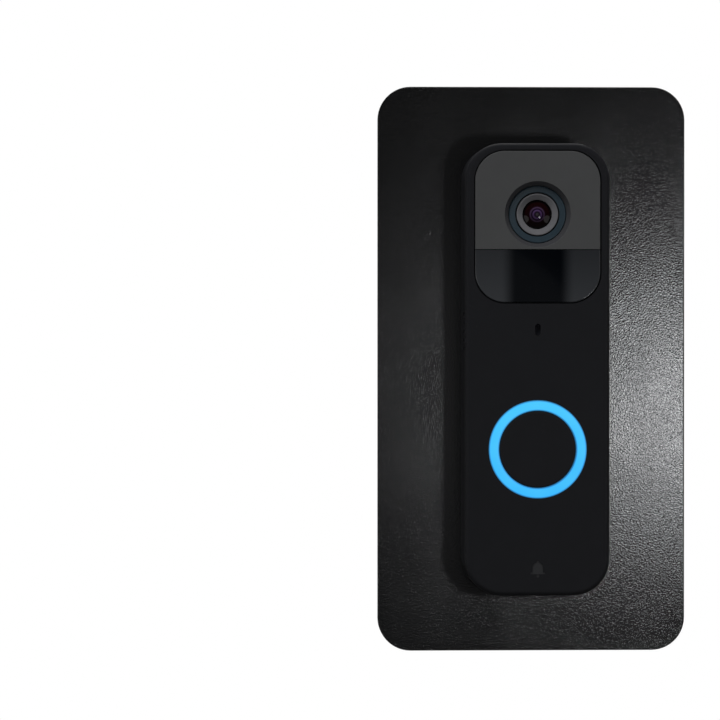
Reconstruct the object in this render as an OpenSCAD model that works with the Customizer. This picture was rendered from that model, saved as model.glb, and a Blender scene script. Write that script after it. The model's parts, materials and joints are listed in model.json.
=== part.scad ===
// Battery video doorbell on its wall plate.
// +Z is up, the visitor stands on the -Y side, and the wall is the plane y = 0.
// The origin is the middle of the wall plate's back face. Millimetres.
// "Depth" below means the distance out from the wall, so a depth d is y = -d.

/* [Wall plate] */
// Width of the wall plate
plate_w = 90; // [80:1:120]
// Height of the wall plate
plate_h = 165; // [160:1:220]
// Thickness of the wall plate
plate_t = 3; // [2:0.1:5]
// Corner radius of the wall plate
plate_corner_r = 9.6; // [4:0.1:20]
// Chamfer round the plate's front edge
plate_chamfer = 0.35; // [0.1:0.05:1]
// Length of each cross slot
slot_len = 26.8; // [24:0.2:36]
// Width of each slot
slot_w = 6.35; // [5.5:0.05:8]
// Height of the top slot above the plate's middle
top_slot_z = 50.5; // [48:0.5:54]
// Height of the upper of the two lower slots
lower_slot_z = -25.5; // [-30:0.5:-20]
// Height of the bottom slot
bottom_slot_z = -50.5; // [-52:0.5:-46]
// Fillet where the upright slot meets the cross slots
slot_fillet = 1; // [0.4:0.1:1.4]
// Width of the wiring window
window_w = 26.2; // [24:0.2:34]
// Height of the wiring window
window_h = 38.5; // [34:0.5:40]
// Height of the window's middle
window_z = 17.75; // [16:0.25:20]
// Corner radius of the window
window_corner_r = 1; // [0.5:0.1:3]
// Radius of the half-round notch above and below the window
notch_r = 3.2; // [2:0.1:4]

/* [Doorbell body] */
// Width of the doorbell
unit_w = 41.5; // [41:0.1:52]
// Height of the doorbell
unit_h = 130; // [128:0.5:158]
// Corner radius of the doorbell's outline
unit_corner_r = 10.5; // [9:0.1:14]
// Rounding of the front edge
front_edge_r = 1.4; // [0.6:0.1:1.8]
// Rounding of the back edge, which rolls on the wall plate
back_edge_r = 0.6; // [0.4:0.1:0.8]
// Wall of the housings
wall_t = 1.5; // [1.4:0.05:1.9]
// Rear housing's height, from its back edge to the parting line
rear_depth = 9.5; // [9:0.1:10.5]
// Shadow gap at the parting line
parting_gap = 0.3; // [0.2:0.05:0.5]
// Lip that registers the two housings
lip_t = 0.6; // [0.5:0.05:0.7]
// Reach of that lip past the parting line
lip_h = 1.5; // [1:0.1:2]
// Gap between the doorbell's back edge and the wall plate
skirt_gap = 0.3; // [0.2:0.05:0.5]

/* [Mount] */
// Thickness of the mount plate
mount_t = 2; // [1.8:0.1:3]
// Gap between the mount plate and the doorbell's floor
mount_gap = 0.3; // [0.2:0.05:0.5]
// Gap round the mount plate inside the doorbell's skirt
mount_clear = 0.3; // [0.2:0.05:0.5]
// Sideways place of each wall screw
wall_screw_x = 9; // [8:0.1:9.5]
// Shank radius of a wall screw
wall_screw_r = 1.75; // [1.5:0.05:2]
// Length of a wall screw in the wall
wall_screw_reach = 18; // [12:1:30]
// Sideways place of each wire terminal
terminal_x = 6.5; // [6:0.1:8]
// Height of the wire terminals
terminal_z = 26; // [24:0.5:28]
// Turn that lifts the doorbell's foot off the wall plate, in degrees
tilt_max = 12; // [4:1:12]

/* [Cells] */
// Diameter of one cell
cell_d = 14.5; // [12:0.1:15.2]
// Length of one cell, terminal included
cell_len = 50.5; // [48:0.1:51]
// Length of the pressed contact coil
coil_len = 3.6; // [3:0.1:4.5]
// Wall round the battery bay
bay_wall_t = 0.8; // [0.7:0.05:1.2]

/* [Head] */
// Margin of the head panel at its sides
head_side_margin = 2.75; // [2.4:0.05:4]
// Margin of the head panel at its top
head_top_margin = 2.2; // [2:0.05:4]
// Height of the head panel
head_h = 43.5; // [42:0.5:46]
// Corner radius of the head panel
head_corner_r = 8.6; // [7:0.1:9]
// Seam round the head panel
head_seam = 0.35; // [0.2:0.05:0.5]
// Thickness of the head panels
head_t = 1.3; // [1.1:0.05:1.5]
// Lens centre, measured down from the doorbell's top
camera_drop = 20.4; // [19:0.1:22]
// Mouth radius of the lens recess
recess_r = 9.55; // [9.2:0.05:11.6]
// Depth of the lens recess
recess_depth = 1.8; // [1.5:0.1:2.2]
// Outer radius of the lens bezel
bezel_r = 8.25; // [8:0.05:8.6]
// Radius of the lens barrel's head
barrel_head_r = 6.5; // [6.2:0.05:6.8]
// Radius of the lens barrel's thread
barrel_r = 5.4; // [5:0.05:5.8]
// Radius of the front lens
glass_r = 4.2; // [3.8:0.05:4.3]

/* [Button] */
// Button centre, measured up from the doorbell's bottom
button_rise = 42.1; // [40:0.1:46]
// Outer radius of the light ring
ring_r = 14.1; // [13:0.1:17]
// Width of the light ring
ring_w = 3; // [2.8:0.1:3.4]
// Travel of the button
button_travel = 0.25; // [0.15:0.05:0.3]
// Depth of the button stack, from its board to the front face
button_stack = 3.65; // [3.5:0.05:4.5]
// Running gap round the button
button_gap = 0.15; // [0.1:0.05:0.3]

/* [Sound] */
// Microphone port, measured up from the button's centre
mic_rise = 34.4; // [32:0.1:36]
// Width of the microphone port
mic_port_w = 1.6; // [1.2:0.1:2]
// Height of the microphone port
mic_port_h = 3.4; // [2.4:0.1:4]
// Number of speaker slots in each side wall
speaker_slots = 5; // [3:1:5]
// Distance from one speaker slot to the next
slot_pitch = 2.5; // [2:0.1:2.5]

/* [Fasteners] */
// Shank radius of a housing screw
screw_r = 1; // [0.8:0.05:1]
// Head radius of a housing screw
screw_head_r = 1.55; // [1.4:0.05:1.6]
// Head height of a housing screw
screw_head_h = 1.1; // [0.9:0.05:1.2]
// Running clearance of a screw in its hole
screw_clear = 0.05; // [0.03:0.01:0.1]

/* [Hidden] */
$fn = 72;
eps = 0.01;

// Small clearances and sheet thicknesses
fit = 0.1;
glue_t = 0.2;
board_t = 0.8;
main_board_t = 1;
tub_t = 1.4;
cell_gap = 0.3;
bay_clear = 0.2;
bay_side_clear = 0.35;
board_gap = 0.2;
contact_t = 0.4;
dimple_h = 0.6;
cell_nub_r = 2.75;
cell_nub_h = 1;

// Levels from the wall outwards
mount_back = plate_t;
mount_front = mount_back + mount_t;
skirt_back = plate_t + skirt_gap;
tub_back = mount_front + mount_gap;
tub_front = tub_back + tub_t;
cell_back = tub_back + cell_gap;
cell_axis = cell_back + cell_d / 2;
bay_back = cell_back + cell_d + bay_clear;
bay_front = bay_back + bay_wall_t;
button_board_back = bay_front + board_gap;
button_board_front = button_board_back + board_t;
front = button_board_front + button_stack;
wall_in = front - wall_t;
parting = skirt_back + rear_depth;

// Outline of the doorbell
half_w = unit_w / 2;
top_z = unit_h / 2;
bottom_z = -unit_h / 2;
inner_w = unit_w - 2 * wall_t;
inner_h = unit_h - 2 * wall_t;
inner_r = unit_corner_r - wall_t;
inner_top = top_z - wall_t;
inner_bottom = bottom_z + wall_t;

// Mount plate
mount_w = inner_w - 2 * mount_clear;
mount_h = inner_h - 2 * mount_clear;
mount_r = inner_r - mount_clear;
wall_screw_head_r = 3.4;
wall_screw_neck_r = wall_screw_r + 0.25;
wall_screw_hole_r = wall_screw_neck_r + 0.1;
countersink_h = 1.5;
terminal_post_r = 1.4;
terminal_nut_r = 2.2;
terminal_pad_z = terminal_z - 7;
leaf_t = 0.15;

// Hooks that hold the doorbell's top, and the slots they pass through
hook_x = [3, 8];
hook_leg_z = inner_top - 2.5;
hook_leg_t = 1.2;
hook_lip_t = 0.6;
hook_lip_rise = 0.9;
hook_slot_high = inner_top - 1.1;
pivot_d = skirt_back + back_edge_r;
pivot_z = top_z - back_edge_r;
hook_gap = (pivot_z - hook_slot_high) * sin(tilt_max) + fit;
hook_lip_back = tub_front + hook_gap;
hook_slot_low = hook_leg_z - (tub_front - pivot_d) * sin(tilt_max) - 0.4;

// Springy release tongue at the doorbell's foot
tongue_w = 7;
tongue_t = 0.9;
tongue_z = inner_bottom + 2.3;
tongue_axis_d = mount_front - 0.6;
tongue_bead_r = 0.8;
tongue_reach = 7.8;
tooth_back = 5.2;
tooth_flat = 1.5;
tooth_drop = 3.0;
tooth_w = 6;
tongue_seat_clear = 0.06;
catch_depth = 1.1;
key_slot_w = 4.4;
key_slot_t = 1.2;

// Battery bay
bay_len = 2 * contact_t + coil_len + cell_len + dimple_h;
bay_bottom = inner_bottom + 7.1;
bay_top = bay_bottom + bay_len;
bay_w = 2 * cell_d + 2 * bay_side_clear;
bay_side_t = 1;
cell_bottom_low = bay_bottom + contact_t + dimple_h;
cell_bottom_high = bay_bottom + contact_t + coil_len;
seal_inset = 0.5;
seal_w = 1.2;
seal_t = mount_gap + 0.5;

// Main board and what stands on it
post_h = 1.5;
main_back = tub_front + post_h;
main_front = main_back + main_board_t;
main_low = bay_top + bay_side_t + 0.5;
main_high = inner_top - 2.5;
main_w = inner_w - 4.1;
board_screw_at = [for (side = [-1, 1]) each [[side * 13.5, top_z - 13], [side * 13.8, main_low + 22]]];
board_screw_len = 3.2;
speaker_w = 22;
speaker_h = 15;
speaker_t = 4.6;
speaker_z = main_low + 10.4;
speaker_back = main_front + 0.8;
speaker_slots_h = slot_pitch * (speaker_slots - 1);
shield_w = 24;
shield_h = 12;
shield_t = 2;
shield_z = main_low + 26.4;
shield_wall = 0.25;
ribbon_z = main_low + 19;
ribbon_w = 8;
ribbon_t = 0.2;

// Camera
camera_z = top_z - camera_drop;
recess_floor = front - recess_depth;
recess_floor_r = bezel_r + fit;
collar_r = recess_r - 0.05;
head_w = unit_w - 2 * head_side_margin;
head_top = top_z - head_top_margin;
head_low = head_top - head_h;
head_z = (head_top + head_low) / 2;
head_split_land = 0.55;
head_split_z = camera_z - recess_r - head_split_land;
head_split_gap = 0.2;
head_back = front - head_t;
ledge_w = 2;
ledge_t = 1.2;
ledge_front = head_back - glue_t;
ledge_back = ledge_front - ledge_t;
ledge_rim = 1.2;
camera_board_back = main_front + 0.6;
camera_board_front = camera_board_back + board_t;
camera_board_w = 18;
holder_w = 16;
holder_base_t = 3.4;
holder_front = recess_floor - 2.05;
holder_flange_r = 8.3;
holder_tube_r = 6.6;
seal_front = holder_front + 0.4;
barrel_back = camera_board_front + 2;
barrel_head_back = seal_front + 0.2;
barrel_front = recess_floor + 0.05;
barrel_mouth_r = barrel_head_r - 0.25;
groove_w = 0.35;
glass_seat = barrel_front - 2.7;
glass_dome = 0.9;
glass_edge = 1.3;

// Sensors behind the lower head window
sensor_board_front = head_back - 5.45;
sensor_board_back = sensor_board_front - board_t;
sensor_low = head_low + 1.2;
sensor_high = head_split_z - 0.9;
sensor_z = (sensor_low + sensor_high) / 2;
sensor_board_w = inner_w - 2.7;
baffle_gap = 0.4;
baffle_t = 0.8;
baffle_inner_x = 6;
baffle_high = sensor_high - 0.5;
sensor_room_low = head_low + ledge_w + baffle_gap + baffle_t;
sensor_room_high = baffle_high - baffle_t;
motion_z = (sensor_room_low + sensor_room_high) / 2;
motion_base_r = (sensor_room_high - sensor_room_low) / 2 - 0.35;
light_sensor_w = 1.6;
light_sensor_x = baffle_inner_x - baffle_t / 2 - 0.5 - light_sensor_w;
ir_led_x = 10.7;
sensor_post_x = inner_w / 2 - 2.05;

// Button, light ring and their board
button_z = bottom_z + button_rise;
ring_in_r = ring_r - ring_w;
cap_r = ring_in_r - button_gap;
cap_flange_r = ring_in_r + 0.9;
ring_rebate_r = cap_flange_r + 0.3;
ring_flange_r = ring_r + 1.2;
ring_rebate = front - 1.75;
ring_back = button_board_front + 0.9;
ring_flange_front = wall_in - 0.05;
cap_top_t = 1;
cap_flange_front = ring_rebate - fit;
cap_flange_t = 0.5;
cap_back = cap_flange_front - cap_flange_t;
cap_wall_t = 1.05;
cap_nub_r = 1.6;
switch_body_t = 0.75;
plunger_r = 1.1;
plunger_front = cap_back - 0.2;
plunger_back = button_board_front + 0.2 + button_travel;
cap_nub_back = plunger_front + 0.02;
button_board_r = ring_flange_r + 0.2;
led_count = 8;
led_r = ring_r - ring_w / 2 + 0.6;
led_size = 1.6;
led_h = 0.6;
mic_z = button_z + mic_rise;
tail_w = 10;
tail_high = mic_z + 4;
stake_r = 0.7;
stake_out = button_board_r + 1.2;
stake_at = [for (a = [70, 215, 325]) [stake_out * cos(a), button_z + stake_out * sin(a)]];
bell_z = bottom_z + 8;

// Housing screws, from the top down
boss_r = 2.3;
screw_seat_t = 1;
screw_pocket_r = screw_head_r + 0.15;
screw_pocket = tub_back + 2.2;
screw_seat = screw_pocket + screw_seat_t;
housing_screw_len = 8;
screw_mid_z = bay_top + bay_side_t + 3.3;
housing_screw_at = [
    for (side = [-1, 1]) each [
        [side * 13, inner_top - 3.5],
        [side * (inner_w / 2 - 2.25), screw_mid_z],
        [side * 9, inner_bottom + 2.1]
    ]
];

// Reset button on the doorbell's back
reset_x = 13;
reset_z = screw_mid_z + 10;
reset_r = 1.4;
reset_flange_r = 2.2;
reset_flange_t = 0.35;
reset_travel = 0.25;
reset_switch_back = tub_front + reset_flange_t + reset_travel + 0.05;

// ---- Helpers ----

// Turns a solid drawn flat, with its height along +Z, so that it rises out from the wall at a depth
module outward(depth) {
    translate([0, -depth, 0])
        rotate([90, 0, 0])
            children();
}

// A flat outline filled between two depths
module slab(d0, d1) {
    outward(d0)
        linear_extrude(height = d1 - d0)
            children();
}

// A rod or cone along Y between two depths
module rod(at, d0, d1, r0, r1 = -1) {
    outward(d0)
        translate([at[0], at[1], 0])
            cylinder(h = d1 - d0, r1 = r0, r2 = r1 < 0 ? r0 : r1);
}

// A ring along Y between two depths
module ring(at, d0, d1, r_out, r_in) {
    difference() {
        rod(at, d0, d1, r_out);
        rod(at, d0 - 1, d1 + 1, r_in);
    }
}

// A profile of [radius, depth] points turned about the axis through a place on the face
module turned(at, points) {
    translate([at[0], 0, at[1]])
        rotate([90, 0, 0])
            rotate_extrude()
                polygon(points);
}

// A box from its low and high corners, given as [x, depth, z]
module block(low, high) {
    translate([low[0], -high[1], low[2]])
        cube([high[0] - low[0], high[1] - low[1], high[2] - low[2]]);
}

// A box centred on a place on the face, between two depths
module slab_box(x, z, w, h, d0, d1) {
    block([x - w / 2, d0, z - h / 2], [x + w / 2, d1, z + h / 2]);
}

module round_rect(w, h, r) {
    square([w - 2 * r, h], center = true);
    square([w, h - 2 * r], center = true);
    for (sx = [-1, 1], sy = [-1, 1])
        translate([sx * (w / 2 - r), sy * (h / 2 - r)])
            circle(r = r);
}

module round_frame(w, h, r, t) {
    difference() {
        round_rect(w, h, r);
        round_rect(w - 2 * t, h - 2 * t, r - t);
    }
}

module pill(length, width) {
    square([length - width, width], center = true);
    for (side = [-1, 1])
        translate([side * (length - width) / 2, 0])
            circle(d = width);
}

// Section of a rounded edge: a flat strip, then a quarter round
module edge_section(flat, r) {
    square([flat, r]);
    translate([flat, 0])
        intersection() {
            circle(r = r);
            square(r);
        }
}

// The last part of a rounded plate, its edge rolled over by a quarter round
module rolled_edge(w, h, corner_r, edge_r) {
    span_x = w - 2 * corner_r;
    span_y = h - 2 * corner_r;
    translate([-span_x / 2, -span_y / 2, 0])
        cube([span_x, span_y, edge_r]);
    for (turn = [0, 180])
        rotate([0, 0, turn]) {
            translate([span_x / 2, span_y / 2, 0])
                rotate([90, 0, 0])
                    linear_extrude(height = span_y)
                        edge_section(corner_r - edge_r, edge_r);
            rotate([0, 0, 90])
                translate([span_y / 2, span_x / 2, 0])
                    rotate([90, 0, 0])
                        linear_extrude(height = span_x)
                            edge_section(corner_r - edge_r, edge_r);
            translate([span_x / 2, span_y / 2, 0])
                rotate_extrude(angle = 90)
                    edge_section(corner_r - edge_r, edge_r);
            translate([-span_x / 2, span_y / 2, 0])
                rotate([0, 0, 90])
                    rotate_extrude(angle = 90)
                        edge_section(corner_r - edge_r, edge_r);
        }
}

// A plate between two depths with its front edge rounded over
module soft_slab(w, h, corner_r, d0, d1, edge_r) {
    slab(d0, d1 - edge_r)
        round_rect(w, h, corner_r);
    outward(d1 - edge_r)
        rolled_edge(w, h, corner_r, edge_r);
}

// A pan-head screw that points out from the wall, its head's back face at a depth
module pan_screw(at, d, head_r, head_h, shank_r, length) {
    difference() {
        union() {
            rod(at, d, d + head_h, head_r);
            rod(at, d + head_h, d + head_h + length, shank_r);
        }
        cross_recess(at, d, head_r * 0.55, head_h * 0.6);
    }
}

// A cross-shaped driver recess cut from a depth outwards
module cross_recess(at, d, reach, depth) {
    for (turn = [0, 90])
        slab(d - eps, d + depth)
            translate(at)
                rotate(turn)
                    square([2 * reach, reach * 0.36], center = true);
}

// One wire ring of a contact coil, its axis along Z
module coil_turn(x, z, r, wire_r) {
    translate([x, -cell_axis, z])
        rotate_extrude()
            translate([r, 0])
                circle(r = wire_r);
}

// A conical contact coil: its turns lie one on the next and widen towards its plate
module contact_coil(x, z_plate, direction) {
    turns = 4;
    wire_r = 0.35;
    foot_r = 4.4;
    step_in = 0.75;
    pitch = (coil_len - 2 * wire_r) / (turns - 1);
    for (i = [0:turns - 1])
        coil_turn(x, z_plate + direction * (wire_r + i * pitch - (i == 0 ? 0.05 : 0)),
                  foot_r - i * step_in, wire_r);
    // Two leaning bars join the turns, as the wire's run from one turn to the next does
    for (side = [-1, 1])
        translate([x, -cell_axis, z_plate])
            rotate([90, 0, 0])
                linear_extrude(height = 2 * wire_r, center = true)
                    polygon([for (p = [[foot_r - wire_r, 0.2], [foot_r + wire_r, 0.2],
                                       [foot_r - (turns - 1) * step_in + wire_r, coil_len - wire_r],
                                       [foot_r - (turns - 1) * step_in - wire_r, coil_len - wire_r]])
                             [side * p[0], direction * p[1]]]);
}

// ---- Wall plate and its screws ----

module wall_plate_cuts() {
    translate([0, top_slot_z])
        pill(slot_len, slot_w);
    translate([0, window_z])
        round_rect(window_w, window_h, window_corner_r);
    for (side = [-1, 1])
        translate([0, window_z + side * (window_h / 2 + 0.4)])
            circle(r = notch_r);
    for (z = [lower_slot_z, bottom_slot_z])
        translate([0, z])
            pill(slot_len, slot_w);
    translate([-slot_w / 2, bottom_slot_z])
        square([slot_w, lower_slot_z - bottom_slot_z]);
    // Fillets at the four inner corners of the I-shaped cut
    for (side = [-1, 1], end = [0, 1])
        translate([side * slot_w / 2, end ? bottom_slot_z + slot_w / 2 : lower_slot_z - slot_w / 2])
            mirror([side < 0 ? 1 : 0, 0])
                mirror([0, end ? 0 : 1])
                    difference() {
                        square(slot_fillet);
                        translate([slot_fillet, slot_fillet])
                            circle(r = slot_fillet);
                    }
}

module wall_plate() {
    color("#1b1c1e")
        difference() {
            union() {
                slab(0, plate_t - plate_chamfer)
                    round_rect(plate_w, plate_h, plate_corner_r);
                outward(plate_t - plate_chamfer)
                    chamfered_edge(plate_w, plate_h, plate_corner_r, plate_chamfer);
            }
            slab(-1, plate_t + 1)
                wall_plate_cuts();
        }
}

// The last part of a rounded plate, its edge cut back by a chamfer
module chamfered_edge(w, h, corner_r, chamfer) {
    span_x = w - 2 * corner_r;
    span_y = h - 2 * corner_r;
    for (sx = [-1, 1], sy = [-1, 1])
        translate([sx * span_x / 2, sy * span_y / 2, 0])
            cylinder(h = chamfer, r1 = corner_r, r2 = corner_r - chamfer);
    rotate([90, 0, 0])
        linear_extrude(height = span_y, center = true)
            polygon([[-w / 2, 0], [w / 2, 0], [w / 2 - chamfer, chamfer], [chamfer - w / 2, chamfer]]);
    rotate([90, 0, 90])
        linear_extrude(height = span_x, center = true)
            polygon([[-h / 2, 0], [h / 2, 0], [h / 2 - chamfer, chamfer], [chamfer - h / 2, chamfer]]);
}

// A countersunk wood screw: flush head, plain shank through the plate, saw-tooth thread in the wall
module wall_screw(at) {
    head_front = mount_front - fit;
    thread_start = -2;
    pitch = 1.6;
    core_r = wall_screw_r - 0.5;
    ridges = floor((wall_screw_reach - 4) / pitch);
    difference() {
        union() {
            rod(at, head_front - countersink_h, head_front, wall_screw_neck_r, wall_screw_head_r);
            rod(at, plate_t - 0.2, head_front - countersink_h, wall_screw_neck_r);
            rod(at, thread_start, plate_t - 0.2, wall_screw_r);
            rod(at, -wall_screw_reach + 2, thread_start, core_r);
            rod(at, -wall_screw_reach, -wall_screw_reach + 2, 0.2, core_r);
            for (i = [0:ridges - 1])
                rod(at, thread_start - (i + 1) * pitch, thread_start - i * pitch, core_r, wall_screw_r);
        }
        outward(head_front - 1.2)
            translate([at[0], at[1], 0])
                for (turn = [0, 90])
                    rotate([0, 0, turn])
                        translate([-1.7, -0.4, 0])
                            cube([3.4, 0.8, 2]);
    }
}

module wall_screws() {
    color("#b9bcc0")
        for (side = [-1, 1], z = [top_slot_z, bottom_slot_z])
            wall_screw([side * wall_screw_x, z]);
}

// ---- Mount ----

module mount_plate() {
    color("#26282b")
        difference() {
            union() {
                slab(mount_back, mount_front)
                    round_rect(mount_w, mount_h, mount_r);
                for (side = [-1, 1])
                    mirror([side < 0 ? 1 : 0, 0, 0]) {
                        block([hook_x[0], mount_front - eps, hook_leg_z],
                              [hook_x[1], hook_lip_back + hook_lip_t, hook_leg_z + hook_leg_t]);
                        block([hook_x[0], hook_lip_back, hook_leg_z + hook_leg_t - eps],
                              [hook_x[1], hook_lip_back + hook_lip_t,
                               hook_leg_z + hook_leg_t + hook_lip_rise]);
                    }
            }
            for (side = [-1, 1], z = [top_slot_z, bottom_slot_z]) {
                rod([side * wall_screw_x, z], mount_back - 1, mount_front + 1, wall_screw_hole_r);
                rod([side * wall_screw_x, z], mount_front - countersink_h, mount_front + eps,
                    wall_screw_hole_r, wall_screw_head_r + 2 * fit);
            }
            for (side = [-1, 1])
                rod([side * terminal_x, terminal_z], mount_back - 1, mount_front + 1, terminal_nut_r);
            // Wire notch at the window's foot
            slab(mount_back - 1, mount_front + 1)
                translate([0, window_z - window_h / 2 + 5])
                    pill(14, 5);
            // Round seat that the release tongue's bead snaps into
            translate([-tongue_w / 2 - fit, -tongue_axis_d, tongue_z])
                rotate([0, 90, 0])
                    cylinder(h = tongue_w + 2 * fit, r = tongue_bead_r + tongue_seat_clear);
            // Long windows that lighten the plate beside the cells
            for (side = [-1, 1])
                slab(mount_back - 1, mount_front + 1)
                    translate([side * (mount_w / 2 - 5.5), (lower_slot_z + bottom_slot_z) / 2 + 14])
                        rotate(90)
                            pill(26, 4);
        }
}

// Drawn in its own section, [depth, z], and swept along X
module release_tongue() {
    tip = tongue_axis_d + tongue_reach;
    tooth_at = tongue_axis_d + tooth_back;
    low = tongue_z - tongue_t / 2;
    color("#3a3d41") {
        translate([-tongue_w / 2, -tongue_axis_d, tongue_z])
            rotate([0, 90, 0])
                cylinder(h = tongue_w, r = tongue_bead_r);
        block([-tongue_w / 2, tongue_axis_d, low], [tongue_w / 2, tip, tongue_z + tongue_t / 2]);
        translate([-tooth_w / 2, 0, 0])
            rotate([90, 0, 90])
                linear_extrude(height = tooth_w)
                    polygon([[-tooth_at, low + eps], [-tooth_at, tongue_z - tooth_drop],
                             [-tooth_at - tooth_flat, tongue_z - tooth_drop], [-tip, low + eps]]);
    }
}

module terminal_nuts() {
    color("#c8a24a")
        for (side = [-1, 1])
            ring([side * terminal_x, terminal_z], mount_back, mount_front, terminal_nut_r,
                 terminal_post_r + screw_clear);
}

// Their heads face the wall, where the two bell wires come in
module terminal_screws() {
    clamp_t = 0.6;
    head_h = 1.5;
    head_back = mount_back - clamp_t - head_h;
    color("#c3c6ca")
        for (side = [-1, 1])
            pan_screw([side * terminal_x, terminal_z], head_back, 2.6, head_h, terminal_post_r,
                      mount_front - head_back - head_h - fit);
}

module terminal_clamps() {
    clamp_t = 0.6;
    color("#b6b9bd")
        for (side = [-1, 1])
            difference() {
                slab(mount_back - clamp_t, mount_back)
                    translate([side * terminal_x, terminal_z])
                        round_rect(7.6, 7.6, 0.6);
                rod([side * terminal_x, terminal_z], 0, mount_front, terminal_post_r + screw_clear);
            }
}

// Leaf from each terminal down to a bump that meets the doorbell's pad
module mount_contacts() {
    color("#d0b060")
        for (side = [-1, 1]) {
            difference() {
                slab(mount_front, mount_front + leaf_t)
                    translate([side * terminal_x, terminal_z]) {
                        circle(r = 2.8);
                        translate([-1.5, terminal_pad_z - terminal_z - 1.5])
                            square([3, terminal_z - terminal_pad_z + 1.5]);
                    }
                rod([side * terminal_x, terminal_z], mount_front - 1, mount_front + 1,
                    terminal_post_r + screw_clear);
            }
            rod([side * terminal_x, terminal_pad_z], mount_front + leaf_t, tub_back, 1.1, 0.7);
        }
}

// ---- Rear housing and what it holds ----

module bay_outline(grow) {
    translate([0, (bay_bottom + bay_top) / 2])
        square([bay_w + 2 * grow, bay_len + 2 * grow], center = true);
}

module rear_housing_body() {
    // Skirt and side walls
    difference() {
        union() {
            slab(skirt_back + back_edge_r, parting)
                round_rect(unit_w, unit_h, unit_corner_r);
            outward(skirt_back + back_edge_r)
                mirror([0, 0, 1])
                    rolled_edge(unit_w, unit_h, unit_corner_r, back_edge_r);
        }
        slab(skirt_back - 1, parting + 1)
            round_rect(inner_w, inner_h, inner_r);
    }
    // Registering lip
    slab(parting - eps, parting + lip_h)
        round_frame(inner_w + 2 * lip_t, inner_h + 2 * lip_t, inner_r + lip_t, lip_t);
    // Floor
    slab(tub_back, tub_front)
        round_rect(inner_w + 2 * eps, inner_h + 2 * eps, inner_r + eps);
    // Battery bay walls and their front cover
    difference() {
        slab(tub_back, bay_front)
            bay_outline(bay_side_t);
        slab(tub_back - 1, bay_back)
            bay_outline(0);
    }
    // Screw bosses and board posts
    for (at = housing_screw_at)
        rod(at, tub_front - eps, screw_seat, boss_r);
    for (at = board_screw_at)
        rod(at, tub_front - eps, main_back, 2.2);
    // Walls of the chamber that the release tongue reaches into
    for (side = [-1, 1])
        block([side * (tongue_w / 2 + 1.4) - 0.5, tub_front - eps, inner_bottom - eps],
              [side * (tongue_w / 2 + 1.4) + 0.5, parting, bay_bottom - bay_side_t + eps]);
}

module rear_housing() {
    tooth_at = tongue_axis_d + tooth_back;
    color("#202226")
        difference() {
            rear_housing_body();
            slab(tub_back - 1, tub_front + 1)
                bay_outline(0);
            slab(tub_back - 1, tub_back + seal_t - mount_gap)
                seal_outline(fit / 2);
            for (at = housing_screw_at) {
                rod(at, tub_back - 1, screw_pocket, screw_pocket_r);
                rod(at, screw_pocket - 1, screw_seat + 1, screw_r + screw_clear);
            }
            for (at = board_screw_at)
                rod(at, tub_front + 0.3, main_back + 1, 0.8);
            for (side = [-1, 1]) {
                mirror([side < 0 ? 1 : 0, 0, 0])
                    block([hook_x[0] - 0.4, tub_back - 1, hook_slot_low],
                          [hook_x[1] + 0.4, tub_front + 1, hook_slot_high]);
                rod([side * terminal_x, terminal_pad_z], tub_back - 1, tub_back + 0.4, 2);
                rod([side * terminal_x, terminal_pad_z], tub_back - 1, tub_front + 1, 0.75);
            }
            rod([reset_x, reset_z], tub_back - 1, tub_front + 1, reset_r + fit);
            // Way in for the tongue, catch for its tooth and slot for the release key
            block([-tongue_w / 2 - 0.5, tub_back - 1, inner_bottom],
                  [tongue_w / 2 + 0.5, tub_front + 1, tongue_z + 1.2]);
            block([-tooth_w / 2 - 0.3, tooth_at - fit, inner_bottom - catch_depth],
                  [tooth_w / 2 + 0.3, tooth_at + tooth_flat + 0.6, inner_bottom + 1]);
            slab(tooth_at, tooth_at + key_slot_t)
                translate([0, bottom_z])
                    square([key_slot_w, 2 * wall_t], center = true);
            // Notches where the middle bosses of the front housing pass
            for (at = housing_screw_at)
                rod(at, screw_seat, bay_front + 1, boss_r + fit);
        }
}

module seal_outline(grow) {
    difference() {
        bay_outline(seal_inset + seal_w + grow);
        bay_outline(seal_inset - grow);
    }
}

module bay_seal() {
    color("#45484c")
        slab(mount_front, mount_front + seal_t)
            seal_outline(0);
}

module housing_seal() {
    inset = 0.35;
    width = 0.5;
    color("#5a5d61")
        slab(parting, parting + parting_gap)
            round_frame(unit_w - 2 * inset, unit_h - 2 * inset, unit_corner_r - inset, width);
}

module housing_screws() {
    color("#9da1a6")
        for (at = housing_screw_at)
            pan_screw(at, screw_pocket - screw_head_h, screw_head_r, screw_head_h, screw_r,
                      housing_screw_len);
}

module power_pads() {
    color("#d8b45a")
        for (side = [-1, 1]) {
            rod([side * terminal_x, terminal_pad_z], tub_back, tub_back + 0.4, 1.9);
            rod([side * terminal_x, terminal_pad_z], tub_back + 0.4, main_back, 0.65);
        }
}

// ---- Cells and contacts ----

// A cell with its terminal up, or down when flipped
module cell(x, z, flipped, wrap) {
    bead = 0.5;
    nub_z = flipped ? z : z + cell_len - cell_nub_h;
    can_z = flipped ? z + cell_nub_h : z;
    translate([x, -cell_axis, 0]) {
        color(wrap)
            translate([0, 0, can_z])
                rotate_extrude()
                    polygon([[0, 0], [cell_d / 2 - bead, 0], [cell_d / 2, bead],
                             [cell_d / 2, cell_len - cell_nub_h - bead],
                             [cell_d / 2 - bead, cell_len - cell_nub_h], [0, cell_len - cell_nub_h]]);
        color("#c9ccd0")
            translate([0, 0, nub_z])
                cylinder(h = cell_nub_h, r = cell_nub_r);
    }
}

module battery_left() {
    cell(-cell_d / 2 - fit, cell_bottom_high, false, "#3f6f8c");
}

module battery_right() {
    cell(cell_d / 2 + fit, cell_bottom_low, true, "#3f6f8c");
}

module contact_blade(x, z, w) {
    block([x - w / 2, cell_axis - 5, z], [x + w / 2, cell_axis + 5, z + contact_t]);
}

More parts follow.
